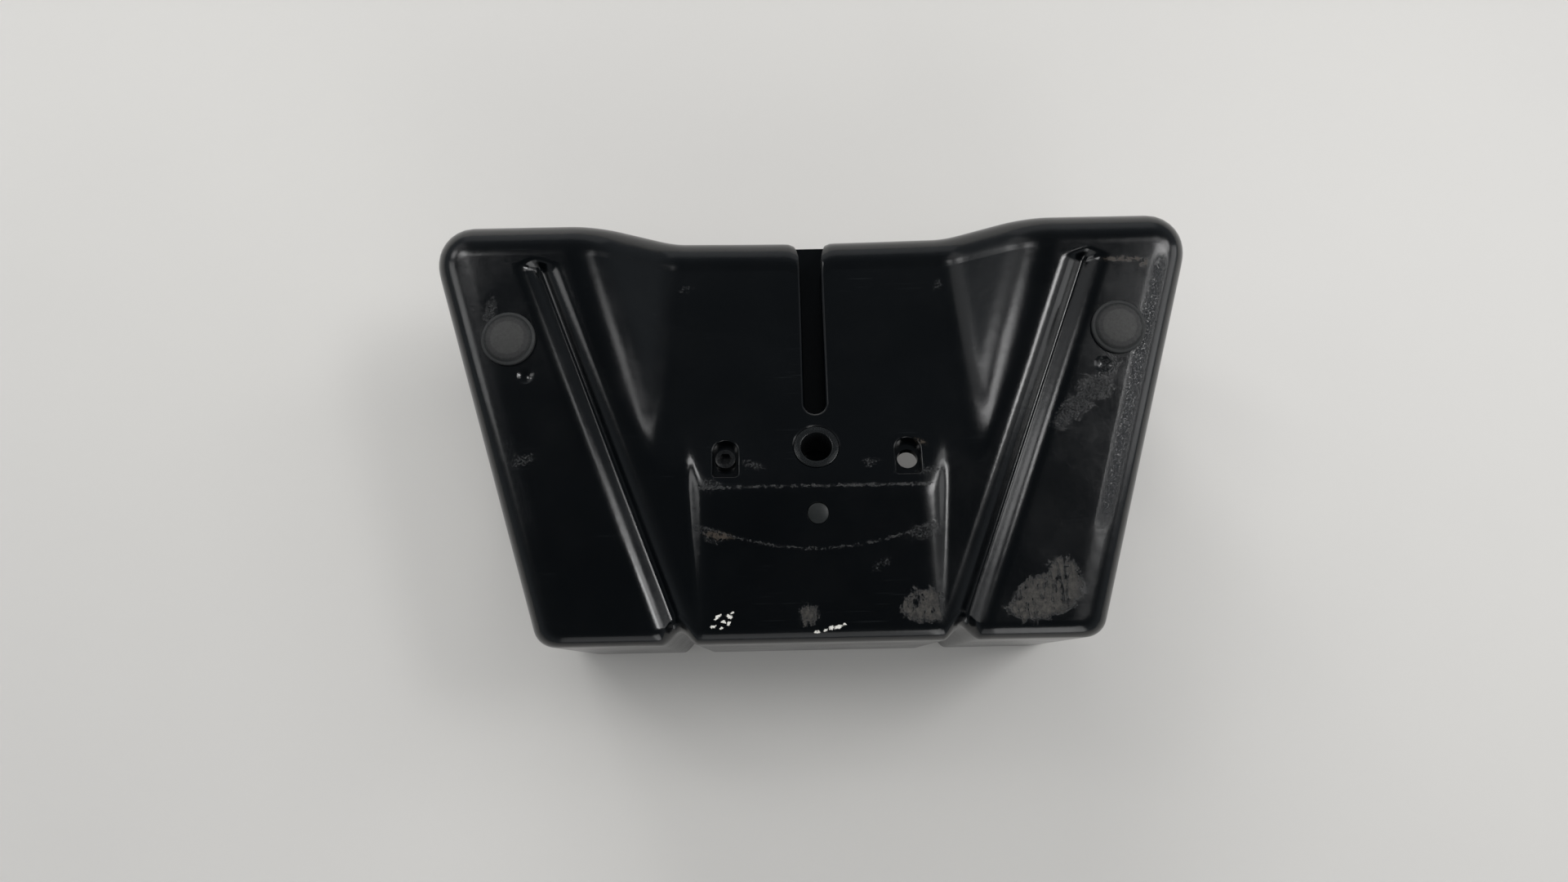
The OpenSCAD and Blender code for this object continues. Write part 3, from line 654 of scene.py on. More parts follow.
def back_shell():
    """The moulding with what is joined behind its skin, then everything cut from it."""
    shell = new_object("moulded_back_shell", shell_mesh())
    boss, seat = bush_fit()
    adds, cuts, holes = [slot_trough(), *boss], [slot_cutter(), *seat], []
    for name, side in SIDES.items():
        at = on_seat(side * HOLE_GAP / 2, HOLE_Y)
        hole_r = HOLE_D / 2 if name == "right" else STUD_HOLE_D / 2
        holes.append(rod("mounting_hole", hole_r, -20, 5, at, 40))
        adds.append(rod("pocket_pad", POCKET_LEN / 2 + 2, -POCKET_DEPTH - POCKET_FLOOR, -1.4, at))
        cuts.append(pocket_cutter(at))
        for more_adds, more_cuts in (cage_fastening(on_cage(side)), bumper_fit(name, side)):
            adds += more_adds
            cuts += more_cuts
    pad, seat = plug_fit()
    holes.append(box_tool(
        "sill_cutter", (-SLOT_W / 2, FLAT_TOP_Y - 4, SLOT_SILL_Z), (SLOT_W / 2, FLAT_TOP_Y + 30, BLOCK_Z)))
    carve(shell, adds + pad, "UNION")
    carve(shell, cuts + seat + holes, "DIFFERENCE")
    smooth(shell, 26)
    return shell


# ---------------------------------------------------------------- materials
def srgb(r, g, b):
    """Colour from its 0-255 screen values."""
    def linear(v):
        v /= 255
        return v / 12.92 if v <= 0.04045 else ((v + 0.055) / 1.055) ** 2.4

    return (linear(r), linear(g), linear(b), 1.0)


# marks on the back face, millimetres in plan: x, y, half length, half width, turn in degrees
PEELS = (
    (78, -61.5, 11.5, 6.2, 14), (72, -66, 7.5, 3.6, 0), (84, -54, 5, 5, 30),
    (34.8, -63.8, 6.6, 4.6, 20), (38, -66.5, 4, 2.4, 0), (-4.2, -66.4, 3.0, 3.0, 0))
CHIPS = (
    (-36.9, -69.9, 1.0, 0.45, 10), (-35.0, -66.6, 1.6, 0.45, 35), (-33.2, -68.3, 0.8, 0.5, 0),
    (-31.2, -66.6, 1.1, 0.6, -20), (-30.0, -65.3, 0.6, 0.4, 30), (-33.9, -70.4, 0.7, 0.35, 30),
    (-31.5, -68.7, 0.8, 0.4, 50), (-1.4, -72.5, 1.0, 0.35, 6), (1.4, -71.9, 0.6, 0.3, 6),
    (3.6, -71.0, 0.8, 0.45, 30), (6.0, -70.9, 1.5, 0.5, 12), (8.2, -70.1, 0.6, 0.35, 0))
SCUFFS = (
    (-22, -14.7, 3.0, 1.0, -14), (19, -14.2, 2.6, 1.0, 20), (40, -17.4, 4.5, 1.4, 4),
    (-38, -21.6, 4, 1.4, 0), (93, 5.4, 10, 3.0, 40), (99, 11, 5, 3.6, 20), (104, 19, 3, 3, 0),
    (-47.5, 56, 2, 1.0, 20), (47.5, 56, 2, 1.0, 60), (-103.4, -11, 4, 1.4, 20),
    (21.3, -49.8, 3.6, 0.4, 40), (37, -38.5, 5, 2.0, 14), (-38, -38.4, 5, 1.6, -20),
    (-116, 42.7, 1.4, 4, -12))
STAINS = (
    (113, 58.3, 6.6, 0.9, -1), (-34.4, -38.9, 4.6, 1.2, -8), (36.8, -6.8, 2.2, 0.8, -30),
    (120, 56.5, 1.6, 1.0, 40))
# thin lines across the block: y on the centre line, bend, half length, half width
RUBBED_LINES = ((-22.4, 0.0, 43.0, 0.45), (-44.0, 0.0052, 42.0, 0.40))
RUB_SHEEN_IN = 10.0  # how far inside the side outline the rubbed strip runs, which is also a painted highlight band


class Nodes:
    """Shorthand for building one material's node tree."""

    def __init__(self, name):
        self.material = bpy.data.materials.new(name)
        self.material.use_nodes = True
        self.tree = self.material.node_tree
        self.shader = self.tree.nodes["Principled BSDF"]
        place = self.tree.nodes.new("ShaderNodeTexCoord")
        self.mm = self.vector("SCALE", place.outputs["Object"], scale=1 / MM)

    def link(self, value, socket):
        if isinstance(value, bpy.types.NodeSocket):
            self.tree.links.new(value, socket)
        else:
            socket.default_value = value

    def vector(self, operation, a, b=(0, 0, 0), scale=1.0):
        node = self.tree.nodes.new("ShaderNodeVectorMath")
        node.operation = operation
        self.link(a, node.inputs[0])
        if operation == "SCALE":
            self.link(scale, node.inputs[3])
        else:
            self.link(b, node.inputs[1])
        return node.outputs[1 if operation == "LENGTH" else 0]

    def math(self, operation, a, b=0.0, c=0.0):
        node = self.tree.nodes.new("ShaderNodeMath")
        node.operation = operation
        for value, socket in zip((a, b, c), node.inputs):
            self.link(value, socket)
        return node.outputs[0]

    def noise(self, scale, detail=4.0, rough=0.55, place=None, output="Fac"):
        node = self.tree.nodes.new("ShaderNodeTexNoise")
        self.link(place or self.mm, node.inputs["Vector"])
        node.inputs["Scale"].default_value = scale
        node.inputs["Detail"].default_value = detail
        node.inputs["Roughness"].default_value = rough
        return node.outputs[output]

    def ramp(self, value, low, high, out_low=0.0, out_high=1.0):
        node = self.tree.nodes.new("ShaderNodeMapRange")
        node.interpolation_type = "SMOOTHSTEP"
        levels = {"Value": value, "From Min": low, "From Max": high, "To Min": out_low, "To Max": out_high}
        for name, level in levels.items():
            self.link(level, node.inputs[name])
        return node.outputs["Result"]

    def mapped(self, place, turn, scale, move=(0, 0, 0), kind="POINT"):
        node = self.tree.nodes.new("ShaderNodeMapping")
        node.vector_type = kind
        self.link(place, node.inputs["Vector"])
        node.inputs["Location"].default_value = move
        node.inputs["Rotation"].default_value = turn
        node.inputs["Scale"].default_value = scale
        return node.outputs["Vector"]

    def mix(self, fac, a, b):
        node = self.tree.nodes.new("ShaderNodeMix")
        node.data_type = "RGBA"
        self.link(fac, node.inputs[0])
        self.link(a, node.inputs[6])
        self.link(b, node.inputs[7])
        return node.outputs[2]

    def blend(self, fac, a, b):
        node = self.tree.nodes.new("ShaderNodeMix")
        self.link(fac, node.inputs[0])
        self.link(a, node.inputs[2])
        self.link(b, node.inputs[3])
        return node.outputs[0]

    def bump(self, height, strength, distance_mm, normal=None):
        node = self.tree.nodes.new("ShaderNodeBump")
        node.inputs["Strength"].default_value = strength
        node.inputs["Distance"].default_value = distance_mm * MM
        self.link(height, node.inputs["Height"])
        if normal:
            self.link(normal, node.inputs["Normal"])
        return node.outputs["Normal"]

    def spot(self, place, x, y, rx, ry, turn, edge):
        """1 inside an ellipse on the back face, fading over edge, in plan."""
        at = self.mapped(place, (0, 0, math.radians(turn)), (rx, ry, 1e4), (x, y, 0), "TEXTURE")
        return self.ramp(self.vector("LENGTH", at), 1 - edge, 1 + edge, 1.0, 0.0)

    def bow(self, place, y, bend, half_length, half_width):
        """1 along a bowed line across the face, y + bend x² in plan."""
        across, along = self.part_of(place, 0), self.part_of(place, 1)
        line = self.math("MULTIPLY_ADD", self.math("MULTIPLY", across, across), bend, y)
        off = self.math("ABSOLUTE", self.math("SUBTRACT", along, line))
        end = self.ramp(self.math("ABSOLUTE", across), half_length - 4, half_length, 1.0, 0.0)
        return self.math("MULTIPLY", end, self.ramp(off, half_width * 0.5, half_width * 1.5, 1.0, 0.0))

    def side_distance(self):
        """Distance inwards from the side outline, millimetres in plan, on either side."""
        across = self.math("ABSOLUTE", self.part_of(self.mm, 0))
        along = self.math("MULTIPLY", self.part_of(self.mm, 1), -math.sin(SIDE_LEAN))
        from_middle = self.math("MULTIPLY_ADD", across, math.cos(SIDE_LEAN), along)
        return self.math("SUBTRACT", SHELL_MID_W / 2 * math.cos(SIDE_LEAN), from_middle)

    def part_of(self, place, axis):
        split = self.tree.nodes.new("ShaderNodeSeparateXYZ")
        self.link(place, split.inputs[0])
        return split.outputs[axis]

    def along_sides(self, low, high):
        """1 on the right side between two places along Y, and weaker on the left."""
        y = self.part_of(self.mm, 1)
        window = self.math("MULTIPLY", self.ramp(y, low, low + 12), self.ramp(y, high - 8, high, 1.0, 0.0))
        return self.math("MULTIPLY", window, self.ramp(self.part_of(self.mm, 0), -1, 1, 0.12, 1.0))

    def most(self, masks):
        total = masks[0]
        for mask in masks[1:]:
            total = self.math("MAXIMUM", total, mask)
        return total

    def laid(self, colour, mask, strength, tone):
        """The colour with a tone laid over it where the mask is."""
        return self.mix(self.math("MULTIPLY", mask, strength), colour, tone)

    def grained(self, colour, grain, rough, bump_mm, metallic):
        """Finishes the material: its colour, and a roughness and relief that go by the grain."""
        self.link(colour, self.shader.inputs["Base Color"])
        self.link(self.ramp(grain, 0.25, 0.75, *rough), self.shader.inputs["Roughness"])
        self.shader.inputs["Metallic"].default_value = metallic
        self.link(self.bump(grain, 0.6, bump_mm), self.shader.inputs["Normal"])
        return self.material


def shell_plastic():
    n = Nodes("glossy_black_moulding")

    def stirred(reach, *noise):
        """Places moved about by a noise, so that a mark's outline comes out ragged."""
        swirl = n.vector("SUBTRACT", n.noise(*noise, output="Color"), (0.5, 0.5, 0.5))
        return n.vector("ADD", n.mm, n.vector("SCALE", swirl, scale=reach))

    ragged = stirred(12.0, 0.35, 8, 0.8)
    near = stirred(2.4, 0.8, 4, 0.7)
    fine = n.noise(3.0, 4, 0.7)
    patchy = n.ramp(n.noise(0.05, 5, 0.65), 0.45, 0.75)
    colour = n.mix(n.noise(0.03, 3), srgb(1, 2, 3), srgb(5, 7, 9))
    # dust that settled over the face
    dust = n.math("MULTIPLY", n.ramp(n.noise(5.0, 2, 0.5), 0.62, 0.80), patchy)
    colour = n.laid(colour, dust, 0.14, srgb(64, 68, 68))
    # fine rubbing scratches in three directions
    marks = []
    for turn, seed in ((25, 3.0), (-40, 11.0), (82, 19.0)):
        place = n.mapped(n.mm, (0, 0, math.radians(turn)), (0.10, 6.5, 1), (seed, 0, seed))
        lines = n.noise(0.35, 2, 0.5, place)
        marks.append(n.ramp(lines, 0.70, 0.76))
    scratch = n.math("MULTIPLY", n.most(marks), n.ramp(n.noise(0.04, 3), 0.45, 0.65))
    colour = n.laid(colour, scratch, 0.18, srgb(60, 64, 66))
    # grey patches where the gloss has peeled away
    peel = n.most([n.spot(ragged, *place, 0.2) for place in PEELS])
    streaks = n.noise(0.5, 6, 0.75, n.mapped(n.mm, (0, 0, math.radians(12)), (1.4, 0.28, 1)))
    peel = n.math("MULTIPLY", peel, n.ramp(n.blend(0.45, streaks, n.noise(0.22, 6, 0.75)), 0.43, 0.51))
    grey = n.mix(n.ramp(n.noise(0.7, 5, 0.75), 0.35, 0.65), srgb(24, 23, 22), srgb(68, 65, 60))
    colour = n.laid(colour, peel, 0.85, grey)
    # white chips along the foot
    chips = n.most([n.spot(near, *place, 0.2) for place in CHIPS])
    colour = n.mix(chips, colour, srgb(214, 212, 205))
    # thin rubbed lines across the block, and scuffs on face and wings
    lines = n.most([n.bow(near, *line) for line in RUBBED_LINES])
    lines = n.math("MULTIPLY", lines, n.ramp(n.noise(0.5, 7, 0.85), 0.46, 0.64))
    scuffs = n.most([n.spot(ragged, *place, 0.6) for place in SCUFFS])
    scuffs = n.math("MULTIPLY", scuffs, n.ramp(n.noise(1.6, 6, 0.85), 0.50, 0.64))
    worn = n.math("MAXIMUM", lines, scuffs)
    colour = n.laid(colour, worn, 0.36, srgb(66, 67, 66))
    # side edges rubbed to a fine grain and lightened there as a painted highlight band, the right one most
    off_edge = n.math("ABSOLUTE", n.math("SUBTRACT", n.side_distance(), RUB_SHEEN_IN))
    rubbed_and_sheen = n.math("MULTIPLY", n.ramp(off_edge, 0.5, 4.0, 1.0, 0.0), n.along_sides(-42, 62))
    rubbed_and_sheen = n.math("MULTIPLY", rubbed_and_sheen, n.ramp(n.noise(1.1, 8, 0.9), 0.44, 0.58))
    colour = n.laid(colour, rubbed_and_sheen, 0.35, srgb(60, 62, 66))
    # rust and brown stains
    stains = n.most([n.spot(near, *place, 0.5) for place in STAINS])
    stains = n.math("MULTIPLY", stains, n.ramp(n.noise(0.8, 5, 0.75), 0.40, 0.58))
    rust = n.mix(n.noise(2.0, 3), srgb(44, 36, 29), srgb(74, 64, 52))
    colour = n.laid(colour, stains, 0.7, rust)
    n.link(colour, n.shader.inputs["Base Color"])
    # gloss: smudged, dull where rubbed or peeled
    gloss = n.ramp(n.noise(0.045, 5, 0.6), 0.35, 0.7, 0.13, 0.20)
    gloss = n.blend(n.math("MULTIPLY", n.ramp(fine, 0.45, 0.7), 0.4), gloss, 0.32)
    dull = n.most([peel, worn, stains, chips, n.math("MULTIPLY", rubbed_and_sheen, 0.12)])
    n.link(n.blend(dull, gloss, 0.6), n.shader.inputs["Roughness"])
    n.shader.inputs["IOR"].default_value = 1.5
    skin = n.bump(n.noise(0.22, 3, 0.5), 0.5, 0.08)
    skin = n.bump(fine, 0.5, 0.02, skin)
    skin = n.bump(n.math("SUBTRACT", n.math("MULTIPLY", worn, n.noise(2.5, 4)), peel), 0.7, 0.12, skin)
    skin = n.bump(rubbed_and_sheen, 0.8, 0.06, skin)
    n.link(skin, n.shader.inputs["Normal"])
    return n.material


def plain_finish(name, dark, light, spots, rough, grain_scale, bump_mm, metallic=0.0):
    """Moulded or metal finish: two tones, wear specks and a grained surface."""
    n = Nodes(name)
    grain = n.noise(grain_scale, 5, 0.65)
    broad = n.noise(0.08, 4, 0.6)
    colour = n.mix(n.ramp(broad, 0.3, 0.7), dark, light)
    specks = n.ramp(n.noise(grain_scale * 0.6, 6, 0.8), 0.60, 0.72)
    colour = n.laid(colour, specks, 0.5, spots)
    return n.grained(colour, grain, rough, bump_mm, metallic)


def ringed(name, centre, stretch, bands, rough, grain_scale, bump_mm, metallic=0.0):
    """Round part whose tone goes by the distance from its own axis, in rings that also carry painted
    highlights and shade; both sides share it by |x|.
    """
    n = Nodes(name)
    off = n.vector("MULTIPLY", n.vector("SUBTRACT", n.vector("ABSOLUTE", n.mm), centre), stretch)
    grain = n.noise(grain_scale, 6, 0.75)
    r = n.math("ADD", n.vector("LENGTH", off), n.math("MULTIPLY", n.math("SUBTRACT", grain, 0.5), 0.9))
    colour = bands[0][1]
    for radius, tone in bands[1:]:
        colour = n.mix(n.ramp(r, radius - 0.25, radius + 0.25), colour, tone)
    specks = n.ramp(n.noise(grain_scale * 1.4, 6, 0.8), 0.52, 0.68)
    colour = n.laid(colour, specks, 0.35, srgb(12, 13, 14))
    return n.grained(colour, grain, rough, bump_mm, metallic)


# ---------------------------------------------------------------- cages
def hoop(place, count=128):
    """Ring of the cage's wall with rounded lips, at the cage's mouth."""
    start, end = CAGE_LEN - HOOP_W, CAGE_LEN
    outer = []
    for middle, turns in ((start + CAGE_LIP, (-90, -60, -30, 0)), (end - CAGE_LIP, (0, 30, 60, 90))):
        for a in np.radians(turns):
            outer.append((CAGE_OUT_R - CAGE_LIP * (1 - math.cos(a)), middle + CAGE_LIP * math.sin(a)))
    inner = [(CAGE_R + CAGE_OUT_R - r, z) for r, z in outer[::-1]]
    return turned("hoop", outer + inner, place, count)


def cup(name, place, count=128):
    """Cup with a rounded foot and lip, which takes a bottle's lower end."""
    foot, lip = CUP_FOOT_ROUND, CAGE_LIP
    profile = [(0, 0), (CAGE_OUT_R - foot, 0)]
    for a in np.radians((30, 60, 90)):
        profile.append((CAGE_OUT_R - foot + foot * math.sin(a), foot - foot * math.cos(a)))
    for a in np.radians((0, 30, 60, 90)):
        profile.append((CAGE_OUT_R - lip * (1 - math.cos(a)), CUP_LEN - lip + lip * math.sin(a)))
    for a in np.radians((90, 60, 30, 0)):
        profile.append((CAGE_R + lip * (1 - math.cos(a)), CUP_LEN - lip + lip * math.sin(a)))
    inner_foot = [(0, 2), (0.6, 0.6), (2, 0), (CAGE_R, 0)]
    profile += [(CAGE_R - inwards, CAGE_WALL + up) for inwards, up in inner_foot]
    return turned(name, profile, place, count)


def spine(place):
    """Bar that joins cup and hoop: hollowed towards the bottle, flat towards the shell."""
    flat_y, half, corner, end_gap = PAD_Z - CAGE_OUT_R, SPINE_W / 2, 1, 0.6
    r = CAGE_R + SPINE_RELIEF
    reach = math.asin(half / r)
    arc = [(r * math.sin(a), r * math.cos(a)) for a in np.linspace(-reach, reach, 17)]
    flat = [(half, flat_y - corner), (half - corner, flat_y)]
    flat += [(-x, y) for x, y in flat[::-1]]
    rings = [np.array([(x, y, z) for x, y in arc + flat]) for z in (end_gap, CAGE_LEN - end_gap)]
    made = layered("spine", rings)
    bm = bmesh.new()
    bm.from_mesh(made.data)
    bmesh.ops.recalc_face_normals(bm, faces=bm.faces)
    bm.to_mesh(made.data)
    bm.free()
    made.data.transform(place)
    return made


def cage(name, side):
    place = on_cage(side)
    made = cup(f"{name}_bottle_cage", place)
    carve(made, [hoop(place), spine(place)], "UNION")
    cuts = [rod("drain", DRAIN_D / 2, -1, CAGE_WALL + 1, place)]
    hole_r, seat_r = SCREW_D / 2 + SCREW_GAP, HEAD_SEAT_D / 2
    inside, outside = 30, 50
    for t in SCREW_STARTS:
        at = place @ Matrix.Translation((0, 0, t * MM)) @ Matrix.Rotation(-math.pi / 2, 4, "X")
        profile = [(0, inside), (seat_r, inside), (seat_r, WASHER_SEAT_R)]
        profile += [(hole_r, WASHER_SEAT_R), (hole_r, outside), (0, outside)]
        cuts.append(turned("screw_hole", profile, at, 40))
    carve(made, cuts, "DIFFERENCE")
    smooth(made, 40)
    return made


# ---------------------------------------------------------------- bumpers and small parts
def bumper(name):
    """Rubber bumper with a stepped rim, a domed face and its stem."""
    low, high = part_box(f"{name}_bumper")
    r = (high.x - low.x) / MM / 2
    tip, top = low.z / MM - FACE_Z, high.z / MM - FACE_Z
    at = Matrix.Translation(Vector(((low.x + high.x) / 2, (low.y + high.y) / 2, FACE_Z * MM)))
    stem = [(0, tip), (2.2, tip), (3, tip + 0.8), (3, -0.4), (r - 0.3, -0.4), (r, -0.1)]
    step = [(r, top - 2.3), (r - 0.1, top - 2.0), (r - 0.4, top - 1.78), (r - 0.95, top - 1.7)]
    step += [(r - 1.1, top - 1.62), (r - 1.25, top - 1.3), (r - 1.6, top - 1.06)]
    dome_r, dome_foot = step[-1]
    dome = []
    for k in range(1, 13):
        d = dome_r * (1 - k / 12)
        dome.append((d, dome_foot + (top - dome_foot) * (1 - (d / dome_r) ** 2)))
    made = turned(f"{name}_rubber_bumper", stem + step + dome, at, 96)
    smooth(made, 50)
    return made


def fastener_row():
    """Node tree that sets a fastener in a straight row, with inputs for its number and spacing."""
    tree = bpy.data.node_groups.new("fastener_row", "GeometryNodeTree")
    sockets = {"Fastener": "Geometry", "Number": "Int", "Spacing": "Vector", "Finish": "Material"}
    for name, kind in sockets.items():
        tree.interface.new_socket(name, in_out="INPUT", socket_type=f"NodeSocket{kind}")
    tree.interface.new_socket("Row", in_out="OUTPUT", socket_type="NodeSocketGeometry")
    start, end = tree.nodes.new("NodeGroupInput"), tree.nodes.new("NodeGroupOutput")
    places = tree.nodes.new("GeometryNodeMeshLine")
    placed = tree.nodes.new("GeometryNodeInstanceOnPoints")
    whole = tree.nodes.new("GeometryNodeRealizeInstances")
    dressed = tree.nodes.new("GeometryNodeSetMaterial")
    for source, output, target, socket in (
        (start, "Number", places, "Count"), (start, "Spacing", places, "Offset"),
        (places, "Mesh", placed, "Points"), (start, "Fastener", placed, "Instance"),
        (placed, "Instances", whole, "Geometry"), (whole, "Geometry", dressed, "Geometry"),
        (start, "Finish", dressed, "Material"), (dressed, "Geometry", end, "Row")):
        tree.links.new(source.outputs[output], target.inputs[socket])
    return tree


def repeat_along_cage(made, side, material, tree):
    """Repeats the fastener at a cage's first screw at each of its screws."""
    first, *_, last = SCREW_STARTS
    spacing = (last - first) / (len(SCREW_STARTS) - 1) * MM
    along = Vector((side * math.sin(SIDE_LEAN), math.cos(SIDE_LEAN), 0))
    values = {"Number": len(SCREW_STARTS), "Spacing": along * spacing, "Finish": material}
    row = made.modifiers.new("row", "NODES")
    row.node_group = tree
    for socket in tree.interface.items_tree:
        if socket.in_out == "INPUT" and socket.name in values:
            row[socket.identifier] = values[socket.name]
    bpy.context.view_layer.update()
    bake(made)


def keep_nearest(bm, place):
    """Leaves of a mesh only the loose part with the vertex nearest the place."""
    reached = {min(bm.verts, key=lambda v: (v.co - place).length)}
    edge = set(reached)
    while edge:
        edge = {e.other_vert(v) for v in edge for e in v.link_edges} - reached
        reached |= edge
    bmesh.ops.delete(bm, geom=[v for v in bm.verts if v not in reached], context="VERTS")


def finished_copy(node, name, bevel, first=None):
    """A CAD node's own shape with its triangles joined and its edges broken, or its first part alone."""
    made = frame["nodes"][node].copy()
    made.data = made.data.copy()
    for key in list(made.keys()):
        del made[key]
    made.parent = None
    made.name = name
    bpy.context.scene.collection.objects.link(made)
    bm = bmesh.new()
    bm.from_mesh(made.data)
    bmesh.ops.remove_doubles(bm, verts=bm.verts, dist=1e-6)
    bmesh.ops.dissolve_limit(bm, angle_limit=math.radians(0.5), verts=bm.verts, edges=bm.edges)
    if first:
        keep_nearest(bm, first)
    bm.to_mesh(made.data)
    bm.free()
    step = made.modifiers.new("edges", "BEVEL")
    step.width = bevel * MM
    step.segments = 2
    step.limit_method = "ANGLE"
    step.angle_limit = math.radians(40)
    bpy.context.view_layer.update()
    bake(made)
    return made


# ---------------------------------------------------------------- build
black = shell_plastic()
satin = plain_finish(
    "satin_black_moulding", srgb(8, 9, 10), srgb(15, 16, 18), srgb(30, 32, 33), (0.45, 0.62), 1.6, 0.03)
steel = plain_finish(
    "satin_steel", srgb(150, 150, 152), srgb(186, 186, 186), srgb(96, 92, 88), (0.25, 0.42), 2.5, 0.015, 1.0)
brass = plain_finish(
    "turned_brass", srgb(176, 140, 74), srgb(206, 172, 104), srgb(120, 92, 48), (0.25, 0.4), 2.5, 0.015, 1.0)
dark_steel = plain_finish(
    "black_oxide_steel", srgb(10, 11, 12), srgb(24, 25, 26), srgb(60, 58, 54), (0.22, 0.4), 1.8, 0.03, 0.3)
plug_black = plain_finish(
    "plug_moulding", srgb(16, 18, 18), srgb(30, 33, 33), srgb(60, 62, 60), (0.35, 0.5), 2.0, 0.03)
bumper_at = centre_of("right_bumper")
# bumper tones by radius: lighter worn centre, a painted shade ring in the rim's step and a painted highlight
# ring on the rim's edge
rubber_wear_and_painted_light_rings = (
    (0, srgb(50, 50, 49)), (6.0, srgb(38, 38, 38)), (7.6, srgb(24, 25, 25)), (8.6, srgb(40, 41, 41)))
rubber = ringed(
    "worn_rubber_painted_rim_light", (bumper_at.x, bumper_at.y, 0), (1, 1, 0), rubber_wear_and_painted_light_rings, (0.5, 0.8), 0.9, 0.05)
# bush tones by radius: dark bore and flange, with painted highlight rings on the bore's lip and the flange's
# edge
bush_painted_highlight_rings = ((0, srgb(16, 17, 18)), (5.3, srgb(34, 36, 37)), (6.0, srgb(8, 9, 10)), (7.5, srgb(28, 30, 31)))
bush_stretch = (1, 1 / math.cos(SEAT_TILT), 0)
bush_steel = ringed(
    "blackened_bush_painted_highlights", (0, BUSH_Y, 0), bush_stretch, bush_painted_highlight_rings, (0.2, 0.34), 1.6, 0.02, 0.4)

finish_piece(back_shell(), black, "shell_plastic", "back_shell")
row_tree = fastener_row()
for name, side in SIDES.items():
    finish_piece(cage(name, side), satin, "cage_plastic", f"{name}_cage")
    finish_piece(bumper(name), rubber, "bumper_rubber", f"{name}_bumper")
    first_screw = on_cage(side) @ Vector((0, (PAD_Z - CAGE_OUT_R) * MM, SCREW_STARTS[0] * MM))
    for part, bevel, material, slot in (
        ("bumper_clip", 0.15, steel, "clip_steel"), ("cage_screws", 0.35, steel, "screw_steel"),
        ("cage_washers", 0.15, steel, "screw_steel"), ("cage_inserts", 0.2, brass, "insert_brass")):
        node = f"{name}_{part}"
        in_row = part != "bumper_clip"
        made = finished_copy(node, f"{node}_finished", bevel, first_screw if in_row else None)
        if in_row:
            repeat_along_cage(made, side, material, row_tree)
        smooth(made, 30)
        finish_piece(made, material, slot, node)
for node, bevel, material, slot in (
    ("centre_bush", 0.3, bush_steel, "black_steel"), ("captive_nut", 0.3, dark_steel, "black_steel"),
    ("captive_screw", 0.3, dark_steel, "black_steel"), ("blanking_plug", 0.25, plug_black, "plug_plastic")):
    made = finished_copy(node, f"{node}_finished", bevel)
    smooth(made, 30)
    finish_piece(made, material, slot, node)


# ---------------------------------------------------------------- floor, light and camera
def floor():
    n = Nodes("pale_floor")
    tone = n.mix(n.noise(0.004, 3), srgb(202, 200, 197), srgb(209, 207, 203))
    n.link(tone, n.shader.inputs["Base Color"])
    n.shader.inputs["Roughness"].default_value = 0.5
    mesh = bpy.data.meshes.new("floor")
    half = 6.0
    corners = [(-half, -half, 0), (half, -half, 0), (half, half, 0), (-half, half, 0)]
    mesh.from_pydata(corners, [], [(0, 1, 2, 3)])
    made = new_object("floor", mesh)
    mesh.materials.append(n.material)


def soft_box(name, azimuth, zenith, distance, size, radiance, glossy=True):
    """Square-cornered lamp aimed at the part, placed by its direction (degrees) and distance (metres)."""
    aim = Vector((0, 0, 0.09))
    a, z = math.radians(azimuth), math.radians(zenith)
    towards = Vector((math.sin(z) * math.cos(a), math.sin(z) * math.sin(a), math.cos(z)))
    lamp = bpy.data.lights.new(name, "AREA")
    lamp.shape = "RECTANGLE"
    lamp.size, lamp.size_y = size
    lamp.energy = radiance * math.pi * size[0] * size[1]
    made = new_object(name, lamp)
    made.location = aim + towards * distance
    made.rotation_mode = "QUATERNION"
    made.rotation_quaternion = towards.to_track_quat("Z", "Y")
    made.visible_glossy = glossy


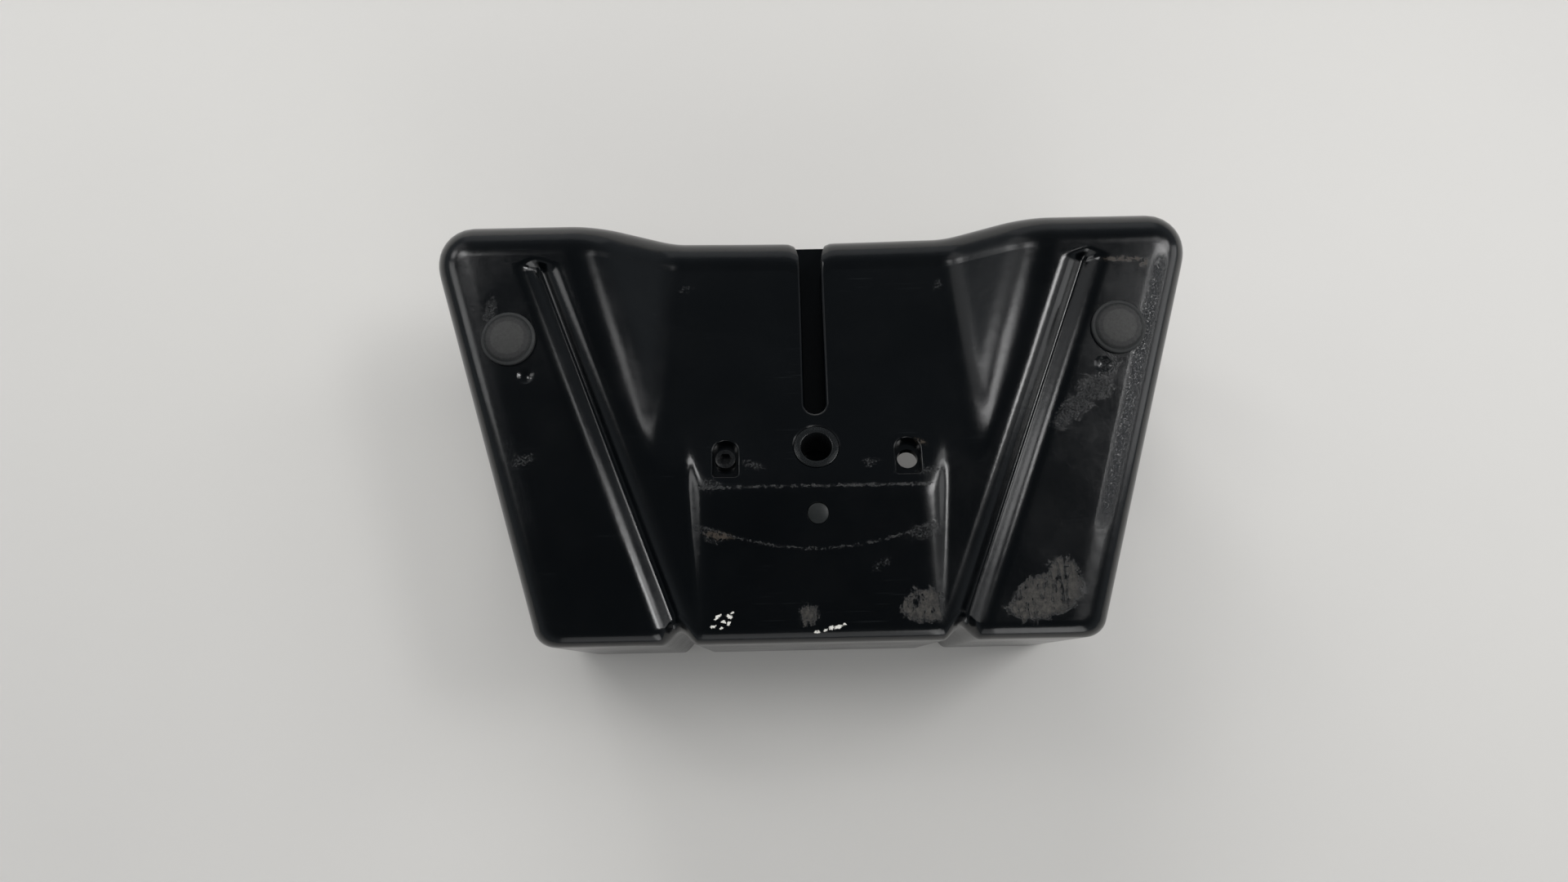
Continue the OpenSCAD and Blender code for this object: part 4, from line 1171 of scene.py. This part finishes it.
def world():
    """Pale studio surround, dimmer overhead so that the black face stays black."""
    made = bpy.data.worlds.new("studio")
    bpy.context.scene.world = made
    made.use_nodes = True
    tree = made.node_tree
    tree.nodes.clear()
    place = tree.nodes.new("ShaderNodeTexCoord")
    split = tree.nodes.new("ShaderNodeSeparateXYZ")
    tree.links.new(place.outputs["Generated"], split.inputs[0])
    ramp = tree.nodes.new("ShaderNodeValToRGB")
    # height from the horizon (0) to straight up (1), and the level of light from there
    stops = [(0.0, 0.24), (0.3, 0.22), (0.5, 0.14), (0.66, 0.09), (0.9, 0.07), (1.0, 0.05)]
    while len(ramp.color_ramp.elements) < len(stops):
        ramp.color_ramp.elements.new(0.5)
    for element, (at, level) in zip(ramp.color_ramp.elements, stops):
        element.position = at
        element.color = (level * 0.92, level, level * 1.08, 1)
    tree.links.new(split.outputs["Z"], ramp.inputs["Fac"])
    light = tree.nodes.new("ShaderNodeBackground")
    tree.links.new(ramp.outputs["Color"], light.inputs["Color"])
    light.inputs["Strength"].default_value = 1.0
    shown = tree.nodes.new("ShaderNodeBackground")
    shown.inputs["Color"].default_value = srgb(200, 200, 200)
    path = tree.nodes.new("ShaderNodeLightPath")
    mix = tree.nodes.new("ShaderNodeMixShader")
    out = tree.nodes.new("ShaderNodeOutputWorld")
    tree.links.new(path.outputs["Is Camera Ray"], mix.inputs["Fac"])
    tree.links.new(light.outputs[0], mix.inputs[1])
    tree.links.new(shown.outputs[0], mix.inputs[2])
    tree.links.new(mix.outputs[0], out.inputs["Surface"])


def camera():
    """Nearly straight down on the back, a little towards the mouths."""
    pitch, roll, turn = math.radians(10), math.radians(-0.7749), 0.0066
    data = bpy.data.cameras.new("camera")
    data.sensor_width = 36
    data.lens = 25.99
    data.clip_start, data.clip_end = 0.01, 50
    made = new_object("camera", data)
    at = Matrix.Translation(Vector((-11.777, -75.046, 487.145)) * MM)
    tilted = Matrix.Rotation(pitch, 4, "X") @ Matrix.Rotation(roll, 4, "Z")
    made.matrix_world = at @ Matrix.Rotation(-turn, 4, "Z") @ tilted
    bpy.context.scene.camera = made


floor()
world()
for lamp in (
    # name, azimuth, zenith, distance, size, radiance, seen in the gloss
    ("overhead", 90, 5, 2.4, (2.4, 2.4), 1.25, False),
    ("back_fill", 104, 66, 2.0, (1.2, 1.0), 5.6, False),
    ("right_high", 18, 34.5, 1.5, (0.40, 0.25), 13.0),
    ("right_back", 46, 41, 1.5, (0.26, 0.26), 2.3),
    ("right_key", 28, 48, 1.5, (0.30, 0.44), 5.0),
    ("right_wide", 6, 40, 1.6, (0.46, 0.95), 0.55),
    ("low_right", 9, 73, 1.5, (0.66, 0.65), 1.5),
    ("left_high", 136, 40, 1.5, (0.24, 0.36), 6.8),
    ("left_low", 146, 60, 1.5, (0.26, 0.30), 3.4),
    ("left_dim", 133, 62, 1.7, (0.75, 0.60), 0.45),
    ("left_side", 168, 56, 1.5, (0.42, 0.56), 2.2),
    ("low_back", 90, 80, 1.8, (1.80, 0.70), 0.25),
    ("low_front", 270, 68, 1.6, (1.20, 0.95), 0.6),
    ("low_front_right", 293, 68, 1.5, (0.60, 1.00), 1.8),
):
    soft_box(*lamp)
camera()
bpy.context.scene.view_settings.view_transform = "Standard"
